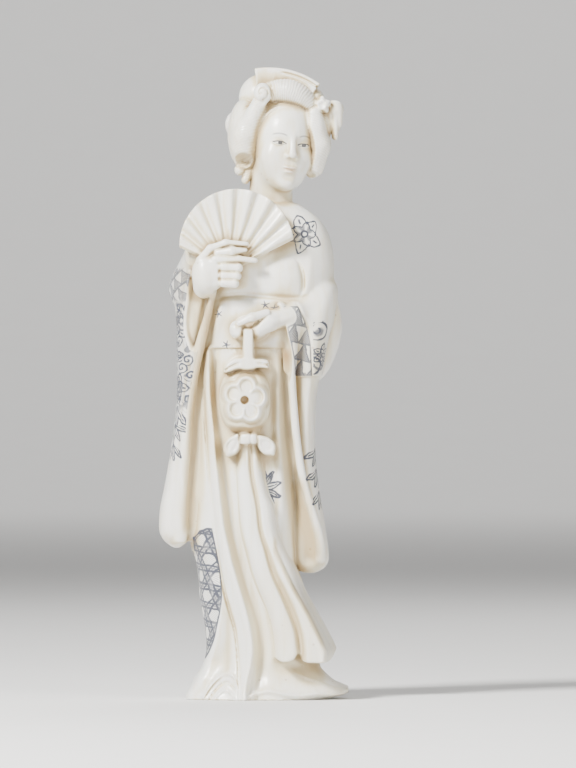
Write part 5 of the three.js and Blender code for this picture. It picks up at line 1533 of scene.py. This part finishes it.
@dataclass(frozen=True)
class IvoryFinish:
    """Polished ivory: warm white, tanned in the hollows by patina and painted shade, with painted shade along valleys,
    grooves and creases and painted shadow in two spots, stained amber in a few places, inked in blue grey.
    """

    name: str = "ivory"
    light: Point = (0.82, 0.81, 0.755)
    cream: Point = (0.7, 0.625, 0.435)
    tan: Point = (0.46, 0.35, 0.19)
    amber: Point = (0.28, 0.145, 0.035)
    # Colour of the painted shade in the narrow creases.
    crease_shade: Point = (0.16, 0.115, 0.07)
    ink_colour: Point = (0.05, 0.056, 0.08)
    black_ink: Point = (0.012, 0.011, 0.014)
    rose: Point = (0.62, 0.34, 0.26)
    roughness: float = 0.34
    wobble: float = 0.9
    cloud_scale: float = 75.0
    streak_scale: float = 900.0
    speck_scale: float = 420.0
    polish: tuple[tuple[str, float | Point], ...] = (
        ("Subsurface Weight", 0.12), ("Subsurface Radius", (1.0, 0.6, 0.35)), ("Subsurface Scale", 0.0006),
        ("Coat Weight", 0.2), ("Coat Roughness", 0.18))

    def zone(self, paint: Painter, name: str) -> Signal:
        """A zone's mask, with a sharp edge."""
        return paint.attribute(name).within(-0.03, 0.06)

    def outline(self, paint: Painter, name: str) -> Signal:
        """The line just inside a zone's edge."""
        return (paint.attribute(name) - 0.14).line(LINE_HALF * 0.8)

    def front_ink(self, where: Signal) -> Signal:
        """The drawings that stand alone on the robe: the shoulder's flower, the leaves and the stars."""
        return drawn(
            where, (FLOWER, (7.3, 93.2), 20, 4.0, 5.0), (LEAVES, (-1.2, 42.6), -75, 4.2, 3.0, 2.0),
            (LEAVES, (-0.4, 42.4), -150, 3.4, 3.0, 1.7), (LEAVES, (-0.5, 43.2), 0, 2.8, 3.0, 1.5),
            (STAR, (-9.9, 77.2), 20, 0.95), (STAR, (-8.3, 71.2), 50, 0.95), (STAR, (-0.5, 79.1), 10, 0.95),
            (STAR, (1.4, 78.4), 70, 0.95), (LEAVES, (11.0, 46.5), 175, 4.2, 4.0, 2.3),
            (LEAVES, (11.6, 42.2), 185, 4.2, 4.0, 2.3), (LEAVES, (10.8, 50.6), 172, 4.2, 4.0, 2.3))

    def sleeve_ink(self, where: Signal, level: Signal) -> Signal:
        """The dense drawings down the outside of the fan's sleeve."""
        scrolls = SCROLLS.ink(where, (0, 0), 0, 2.7) * level.within(56, 60) * level.within(80.5, 79)
        rows = TRIANGLES.ink(where, (0, 0.6), 35, 2.4) * level.within(79, 80.5) * level.within(87, 86)
        ink = drawn(
            where, (FLOWER, (-20.2, 69.0), 30, 3.3, 6.0), (FLOWER, (-17.6, 75.2), -10, 2.8, 5.0),
            (FLOWER, (-22.8, 76.0), 20, 2.8, 6.0), (FLOWER, (-18.4, 62.8), 50, 2.8, 5.0),
            (LEAVES, (-18.4, 59), 165, 4.6, 4.0, 2.2), (LEAVES, (-19.4, 55.5), 200, 4.2, 4.0, 2.2),
            (LEAVES, (-18.8, 51.5), 170, 3.6, 4.0, 2.2))
        return ink.larger(scrolls).larger(rows).larger(level.within(54, 62) * 0.3)

    def unsteady(self, where: Signal) -> Signal:
        """Shifts the places a little, as an unsteady hand would."""
        noise = add(where.tree, "ShaderNodeTexNoise", {"Vector": where, "Scale": 0.5, "Detail": 2.0})
        shift = add(where.tree, "ShaderNodeVectorMath", {0: noise.outputs["Color"], 2: where,
                                                         1: (self.wobble, self.wobble, 0)}, operation="MULTIPLY_ADD")
        return Signal(where.tree, shift.outputs[0])

    def cloth_ink(self, paint: Painter) -> Signal:
        """All the patterns on the cloth as one mask."""
        where = self.unsteady(paint.attribute("cloth_place", vector=True))
        across, level, _ = parted(where)
        cuff = TRIANGLES.ink(where, (0.4, 0.9), -14, 2.9).larger(self.outline(paint, "zone_cuff") * 0.7)
        curves = drawn(where, (SCROLLS, (3, 2), 0, 4.6), (FLOWER, (10.9, 69.2), 0, 2.3))
        dx, dz = across + 10.7, level - 29.9
        arc = (dx * dx + dz * dz).do("SQRT") - 4.6
        above = level.within(29.8, 30.0)
        inside = (arc.within(0.05, -0.05) - 1.0) * above + 1.0
        lattice = LATTICE.ink(where, (0.4, 0.9), -7, 3.7, 0.55).larger(self.outline(paint, "zone_panel"))
        ring = arc.line(LINE_HALF * 1.1).larger((arc + 0.5).line(LINE_HALF * 0.7)) * above
        inks = {"zone_front": self.front_ink(where), "zone_sleeve": self.sleeve_ink(where, level),
                "zone_cuff": cuff, "zone_low_sleeve": curves, "zone_panel": (lattice * inside).larger(ring)}
        return reduce(Signal.larger, [ink * self.zone(paint, name) for name, ink in inks.items()])

    def face_ink(self, paint: Painter) -> tuple[Signal, Signal]:
        """The brows and eyes as one mask, and the lips as another."""
        x, y, z = parted(paint.attribute("face_place", vector=True))
        side = x.size()
        front = y.within(-4.2, -4.6)
        t = (side - EYE_ACROSS) / EYE_HALF
        dome = (t * t * -1.0 + 1.0).larger(0.0)
        level = z - LID_LEVEL - t * 0.06
        inside = t.size().within(1.1, 0.98)
        upper = (level - dome * 0.3).within(0.24, 0.12) * (level - dome * 0.3).within(-0.1, -0.03) * inside
        lower = (level + dome * 0.27).line(0.07) * inside * 0.5
        iris = ((side - EYE_ACROSS) * (side - EYE_ACROSS) + level * level).do("SQRT").within(0.5, 0.42)
        iris = iris * (level.size() - dome * 0.3).within(0.04, -0.03)
        s = (side - 2.6) / 1.6
        arch = z - 2.3 - (s * s * -0.45)
        brow = arch.line(0.15) * s.size().within(1.0, 0.6) * 0.5
        lips = (x * x / 2.2 + (z + 4.66) * (z + 4.66) / 0.66).within(1.0, 0.55)
        return upper.larger(lower).larger(iris).larger(brow) * front, lips * front

    def base_colour(self, paint: Painter, here: NodeSocket) -> NodeSocket:
        """The ivory's colour before the ink, with patina and painted shade in the hollows, painted shade along valleys,
        grooves and creases, painted shadow in two spots, and its stains.

        Args:
            paint: the painter of the material's tree.
            here: the object's coordinates.

        Returns:
            The colour's socket.
        """
        clouds = paint.noise(here, self.cloud_scale, (1, 1, 0.45), 4.0)
        streaks = paint.noise(here, self.streak_scale, (1, 1, 0.06))
        # Patina and painted shade in the hollows: the cavity measure, stirred by the clouds and streaks, tints the
        # ivory cream and then tan.
        hollow_patina_and_shade = paint.attribute("cavity") + (clouds - 0.5) * 0.3 + (streaks - 0.5) * 0.12
        # Painted shade along the valleys and grooves, with the cuff's amber stain, mottled by the clouds and streaks.
        mottled_streak_shade_and_stain = paint.attribute("stain") * (clouds.within(0.25, 0.6) * 0.5 + streaks.within(0.3, 0.7) * 0.3 + 0.35)
        # Painted shade in the bottoms of the hair's strand grooves, in step with the grooves that the strand cutter
        # presses in.
        across = paint.attribute("strand_across") * (2 * math.pi / STRAND_PITCH)
        groove = (across.do("COSINE") * 0.5 + 0.5) * paint.attribute("strand_amount")
        # Painted shade in the narrow creases, where the fine hollow measure is high.
        fine = paint.attribute("crease") + (streaks - 0.5) * 0.2
        specks = add(paint.tree, "ShaderNodeTexVoronoi", {"Vector": here, "Scale": self.speck_scale})
        dots = Signal(paint.tree, specks.outputs["Distance"]).within(0.14, 0.07) * clouds.within(0.52, 0.62)
        # Layers over the pale ivory: cloudy cream and grain streaks; patina and painted shade in the hollows; painted
        # shade along valleys and grooves with the cuff's amber stain; painted shade in the strand grooves; amber stains
        # and painted shadow at the spots; painted shade in the narrow creases; amber specks.
        return paint.over(self.light, (self.cream, clouds.within(0.42, 0.7) * 0.5),
                          (self.cream, streaks.within(0.48, 0.72) * 0.3),
                          (self.cream, hollow_patina_and_shade.within(0.06, 0.3) * 0.95), (self.tan, hollow_patina_and_shade.within(0.22, 0.6) * 0.95),
                          (self.cream, mottled_streak_shade_and_stain.within(0.0, 0.4) * 0.8), (self.tan, mottled_streak_shade_and_stain.within(0.1, 0.8) * 0.9),
                          (self.tan, groove * 0.22), (self.amber, paint.attribute("spot") * 0.8),
                          (self.crease_shade, fine.within(0.3, 0.85) * 0.75), (self.amber, dots * 0.4))

    def material(self) -> Material:
        """Builds the material.

        Returns:
            The material.
        """
        made, tree, shader = blank_material(self.name)
        paint = Painter(tree)
        here = add(tree, "ShaderNodeTexCoord").outputs["Object"]
        wear = paint.noise(here, 700.0, (1, 1, 0.5))
        ink = self.cloth_ink(paint) * (wear.within(0.25, 0.5) * 0.2 + 0.8)
        features, lips = self.face_ink(paint)
        colour = paint.over(self.base_colour(paint, here), (self.ink_colour, ink), (self.rose, lips * 0.22),
                            (self.black_ink, features * 0.95))
        rough = paint.noise(here, 260.0, (1, 1, 0.4), 3.0)
        roughness = (rough - 0.5) * 0.16 + paint.attribute("cavity") * 0.25 + ink * 0.12 + self.roughness
        marks = paint.noise(here, 1500.0, (1, 1, 0.15)) * 0.5 + paint.noise(here, 180.0)
        relief = add(tree, "ShaderNodeBump", {"Strength": 0.4, "Distance": 0.00015, "Height": marks})
        for name, value in (("Base Color", colour), ("Roughness", roughness), ("Normal", relief.outputs[0]),
                            *self.polish):
            place(tree, shader.inputs[name], value)
        return made


@dataclass(frozen=True)
class StudioFinish:
    """Plain pale paper for the floor and its sweep."""

    name: str = "studio_paper"
    colour: tuple[float, float, float] = (0.78, 0.77, 0.75)
    roughness: float = 0.9

    def material(self) -> Material:
        """Builds the material with a faint unevenness in its tone."""
        made, tree, shader = blank_material(self.name)
        paint = Painter(tree)
        uneven = paint.noise(add(tree, "ShaderNodeTexCoord").outputs["Object"], 60.0)
        colour = paint.over(self.colour, ([c * 0.97 for c in self.colour], uneven))
        place(tree, shader.inputs["Base Color"], colour)
        place(tree, shader.inputs["Roughness"], self.roughness)
        return made


@dataclass(frozen=True)
class StrandCutter:
    """Geometry Nodes tree that cuts the hair's strands into the head, then gives the ivory."""

    pitch: float = STRAND_PITCH
    depth: float = 0.1
    wander: float = 0.05
    seed: float = 3.0

    def tree(self) -> GeometryNodeTree:
        """Builds the tree with named inputs.

        Returns:
            The tree.
        """
        tree = bpy.data.node_groups.new("hair_strands", "GeometryNodeTree")
        for name, kind in (("Geometry", "Geometry"), ("Strand Pitch", "Float"), ("Strand Depth", "Float"),
                           ("Wander", "Float"), ("Seed", "Float"), ("Finish", "Material")):
            tree.interface.new_socket(name, in_out="INPUT", socket_type="NodeSocket" + kind)
        tree.interface.new_socket("Geometry", in_out="OUTPUT", socket_type="NodeSocketGeometry")
        inside = add(tree, "NodeGroupInput").outputs
        pitch, depth, wander = (Signal(tree, inside[name]) for name in ("Strand Pitch", "Strand Depth", "Wander"))
        stored = [add(tree, "GeometryNodeInputNamedAttribute", {"Name": name}, data_type="FLOAT")
                  for name in ("strand_across", "strand_amount")]
        across, amount = (Signal(tree, node.outputs["Attribute"]) for node in stored)
        noise = add(tree, "ShaderNodeTexNoise", {"Scale": 0.45, "W": inside["Seed"]}, noise_dimensions="4D")
        sway = (Signal(tree, noise.outputs["Fac"]) - 0.5) * wander
        groove = ((across + sway) / pitch * (2 * math.pi)).do("COSINE") * 0.5 + 0.5
        outwards = add(tree, "GeometryNodeInputNormal").outputs[0]
        push = add(tree, "ShaderNodeVectorMath", {0: outwards, "Scale": groove * amount * depth * -1.0},
                   operation="SCALE")
        move = add(tree, "GeometryNodeSetPosition", {"Geometry": inside["Geometry"], "Offset": push.outputs[0]})
        real = add(tree, "GeometryNodeRealizeInstances", {0: move.outputs[0]})
        dress = add(tree, "GeometryNodeSetMaterial", {"Geometry": real.outputs[0], "Material": inside["Finish"]})
        add(tree, "NodeGroupOutput", {0: dress.outputs[0]})
        return tree

    def fit(self, piece: Object, finish: Material) -> None:
        """Puts the tree on a piece with this cutter's sizes.

        Args:
            piece: the carving with its strand attributes, in millimetres.
            finish: the material that it gets.
        """
        modifier = piece.modifiers.new("strands", "NODES")
        modifier.node_group = self.tree()
        given = {"Strand Pitch": self.pitch, "Strand Depth": self.depth,
                 "Wander": self.wander, "Seed": self.seed, "Finish": finish}
        for item in modifier.node_group.interface.items_tree:
            if item.item_type == "SOCKET" and item.in_out == "INPUT" and item.name in given:
                modifier[item.identifier] = given[item.name]


@dataclass
class CarvedFigure:
    """The finished piece: the carving meshed, cut finely, thinned and given its ivory."""

    figure: Figure = field(default_factory=Figure)
    finish: IvoryFinish = field(default_factory=IvoryFinish)
    strands: StrandCutter = field(default_factory=StrandCutter)
    triangles: int = 194000
    # How far out the hollow measure and the crease measure look: they drive the patina and painted shade in the hollows
    # and the painted shade in the creases.
    hollow_reaches: tuple[Point, ...] = ((0.4, 0.15), (0.9, 0.25), (1.9, 0.3), (3.6, 0.3))
    crease_reaches: tuple[Point, ...] = ((0.25, 0.5), (0.5, 0.5))
    stains: tuple[ShadeAndStainStreak, ...] = SHADE_AND_STAIN_STREAKS
    # Amber stains at the lantern's hole and in the cuff, and painted shadow under the strap's hand and in the hollow
    # under the hair's left wing.
    spots: tuple[tuple[Point, float, float], ...] = (
        ((-5.0, -12, 59.7), 1.1, 0.5), ((3.4, -8.6, 68.4), 1.6, 0.9), ((-0.8, -9.8, 72.4), 1.3, 0.55),
        ((-5.6, -4, 107.4), 1.9, 0.35))
    fine_spots: tuple[tuple[Point, Point], ...] = (
        ((-10, -13, 98), (17, 11, 127)), ((-18, -15, 78), (-2, -9, 92)), ((-9, -15, 70), (5, -9, 79)),
        ((-11, -15, 46), (0.5, -12, 67)))

    def mesh(self, name: str, points: Array, triangles: Array) -> Mesh:
        """Makes a Blender mesh in the model's place, still in millimetres.

        Args:
            name: the mesh's name.
            points: places in drawn millimetres.
            triangles: the faces.

        Returns:
            The mesh.
        """
        made = bpy.data.meshes.new(name)
        made.vertices.add(len(points))
        made.vertices.foreach_set("co", (points + DRAWN_TO_MODEL).ravel())
        made.loops.add(triangles.size)
        made.loops.foreach_set("vertex_index", triangles.ravel())
        made.polygons.add(len(triangles))
        made.polygons.foreach_set("loop_start", np.arange(0, triangles.size, 3))
        made.update(calc_edges=True)
        made.shade_smooth()
        return made

    def store(self, mesh: Mesh, **named: Array) -> None:
        """Keeps numbers or places for each point of a mesh, in place of older ones with their names."""
        for name, values in named.items():
            if name in mesh.attributes:
                mesh.attributes.remove(mesh.attributes[name])
            kind, key = ("FLOAT", "value") if values.ndim == 1 else ("FLOAT_VECTOR", "vector")
            kept = mesh.attributes.new(name, kind, "POINT")
            kept.data.foreach_set(key, values.astype(np.float32).ravel())

    def places(self, mesh: Mesh) -> tuple[Array, Array]:
        """The points of a mesh in drawn millimetres, and which way they look."""
        points, normals = np.empty(len(mesh.vertices) * 3), np.empty(len(mesh.vertices) * 3)
        mesh.vertices.foreach_get("co", points)
        mesh.vertex_normals.foreach_get("vector", normals)
        return points.reshape(-1, 3) - DRAWN_TO_MODEL, normals.reshape(-1, 3)

    def keep_inside(self, mesh: Mesh) -> None:
        """Moves points that stand outside the CAD piece's box back onto it."""
        points = self.places(mesh)[0] + DRAWN_TO_MODEL
        low, high = np.array(CAD_BOX) / MILLIMETRE
        mesh.vertices.foreach_set("co", np.clip(points, low + INSET, high - INSET).ravel())
        mesh.update()

    def hollows(self, points: Array, normals: Array, chisel: Chisel, reaches: tuple[Point, ...]) -> Array:
        """How deep in a hollow each point lies, from 0 in the open to 1.

        Args:
            points: places in drawn millimetres.
            normals: which way they look.
            chisel: what samples the carving's distances.
            reaches: how far out to look, and how much each look counts.

        Returns:
            One number for each point.
        """
        return sum(share * clamp(1 - chisel.sample((points + normals * reach).T) / reach) for reach, share in reaches)

    def mark(self, mesh: Mesh, chisel: Chisel) -> None:
        """Stores what the ivory reads: hollows and creases, streaks and spots, which carry patina, painted shade and
        stains, the strands, and the inked zones.

        Args:
            mesh: the finished mesh, still in millimetres.
            chisel: what samples the carving's distances.
        """
        points, normals = self.places(mesh)
        head = self.figure.head
        local = (points - head.centre).T
        face_place = np.where(head.face(local)[:, None] < 0.3, np.stack(head.face_place(local), 1), OFF_FACE)
        # Painted shade along the valleys and grooves, and the cuff's stain, kept to surfaces that face the front.
        stain = np.maximum.reduce([streak.share(points[:, 0], points[:, 2]) for streak in self.stains])
        # Amber stain at two spots and painted shadow at the other two.
        spot = np.maximum.reduce([strength * bump(np.linalg.norm(points - middle, axis=1) / size)
                                  for middle, size, strength in self.spots])
        self.store(mesh, cavity=self.hollows(points, normals, chisel, self.hollow_reaches),
                   crease=self.hollows(points, normals, chisel, self.crease_reaches), **head.strands(points.T),
                   **self.figure.ink_zones(points.T, normals[:, 1]), cloth_place=self.figure.cloth_place(points.T),
                   face_place=face_place, stain=stain * ease((0.2 - normals[:, 1]) / 0.4), spot=spot)

    def build(self) -> Object:
        """Makes the piece.

        Returns:
            The finished object.
        """
        chisel = Chisel(self.figure.distance)
        points, triangles = chisel.net()
        LOG.info("net: %d points", len(points))
        points, triangles = chisel.refine(points, triangles, self.fine_spots)
        points = chisel.settle(points)
        LOG.info("refined: %d points", len(points))
        rough = self.mesh("rough_carving", points, triangles)
        self.store(rough, **self.figure.head.strands(points.T))
        piece = link("rough_carving", rough)
        finish = self.finish.material()
        self.strands.fit(piece, finish)
        thinning = piece.modifiers.new("thinning", "DECIMATE")
        thinning.ratio = min(1.0, self.triangles / len(triangles))
        bpy.context.view_layer.update()
        shown = piece.evaluated_get(bpy.context.evaluated_depsgraph_get())
        final = bpy.data.meshes.new_from_object(shown)
        bpy.data.objects.remove(piece)
        bpy.data.meshes.remove(rough)
        final.name = "figure_carving"
        LOG.info("thinned: %d triangles", len(final.polygons))
        self.keep_inside(final)
        self.mark(final, chisel)
        final.transform(Matrix.Scale(MILLIMETRE, 4))
        final.materials.clear()
        final.materials.append(finish)
        return link("figure_carving", final)


@dataclass(frozen=True)
class Studio:
    """A pale floor with a sweep behind, soft light from the upper left, and the camera."""

    reach: float = 4.5
    sweep_start: float = 2.4
    sweep_radius: float = 0.9
    sweep_steps: int = 24
    aim: Point = AIM
    distance: float = 1.6
    frame_height: float = 0.1536
    near_and_far: Point = (0.01, 20.0)
    air_colour: Point = (0.93, 0.95, 1.0)
    air_strength: float = 0.12
    lights: tuple[tuple, ...] = (
        ("key", (-0.38, -0.44, 0.50), AIM, 18.0, 0.15, (1.0, 0.995, 0.985)),
        ("fill", (0.50, -0.60, 0.22), AIM, 4.4, 0.35, (1.0, 0.98, 0.95)),
        ("back", (0.1, 0.5, 0.6), AIM, 3.0, 0.4, (1.0, 1.0, 1.0)),
        ("sweep", (0.0, 2.4, 1.6), (0.0, 3.2, 0.0), 22.0, 1.0, (1.0, 1.0, 1.0)))

    def floor(self) -> Object:
        """Makes the floor and its sweep."""
        turns = [n / self.sweep_steps * math.pi / 2 for n in range(1, self.sweep_steps + 1)]
        curve = [(self.sweep_start + self.sweep_radius * math.sin(angle), self.sweep_radius * (1 - math.cos(angle)))
                 for angle in turns]
        profile = [(-self.reach, 0.0), (self.sweep_start, 0.0), *curve, (curve[-1][0], self.reach)]
        points = [(x, y, z) for y, z in profile for x in (-self.reach, self.reach)]
        faces = [(2 * n, 2 * n + 1, 2 * n + 3, 2 * n + 2) for n in range(len(profile) - 1)]
        mesh = bpy.data.meshes.new("studio_floor")
        mesh.from_pydata(points, [], faces)
        mesh.shade_smooth()
        mesh.materials.append(StudioFinish().material())
        return link("studio_floor", mesh)

    def light(self, name: str, spot: Point, towards: Point, power: float, size: float, colour: Point) -> None:
        """Adds one soft light.

        Args:
            name: the light's name.
            spot: where it hangs, in metres.
            towards: what it looks at.
            power: its power in watts.
            size: the side of its square.
            colour: its colour.
        """
        data = bpy.data.lights.new(name, "AREA")
        data.energy, data.size, data.color = power, size, colour
        made = link(name, data)
        made.location = spot
        made.rotation_euler = (Vector(towards) - Vector(spot)).to_track_quat("-Z", "Y").to_euler()

    def camera(self) -> None:
        """Sets the camera level with the figure's middle, straight in front."""
        data = bpy.data.cameras.new("camera")
        data.lens = data.sensor_width * self.distance / self.frame_height
        data.clip_start, data.clip_end = self.near_and_far
        made = link("camera", data)
        made.location = (self.aim[0], -self.distance, self.aim[2])
        made.rotation_euler = (math.radians(90), 0, 0)
        bpy.context.scene.camera = made

    def build(self) -> Object:
        """Sets up the studio and gives back its floor."""
        world = bpy.data.worlds.new("studio_air")
        bpy.context.scene.world = world
        world.use_nodes = True
        air = world.node_tree.nodes["Background"].inputs
        air["Color"].default_value, air["Strength"].default_value = (*self.air_colour, 1), self.air_strength
        for light in self.lights:
            self.light(*light)
        self.camera()
        return self.floor()


def main() -> None:
    """Builds the studio and the figure, attaches the figure to its body and hides the CAD piece."""
    logging.basicConfig(level=logging.INFO, format="%(message)s")
    Studio().build()
    LOG.info("studio ready")
    piece = CarvedFigure().build()
    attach(piece, BODY)
    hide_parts(NODE)


if __name__ == "__main__":
    main()
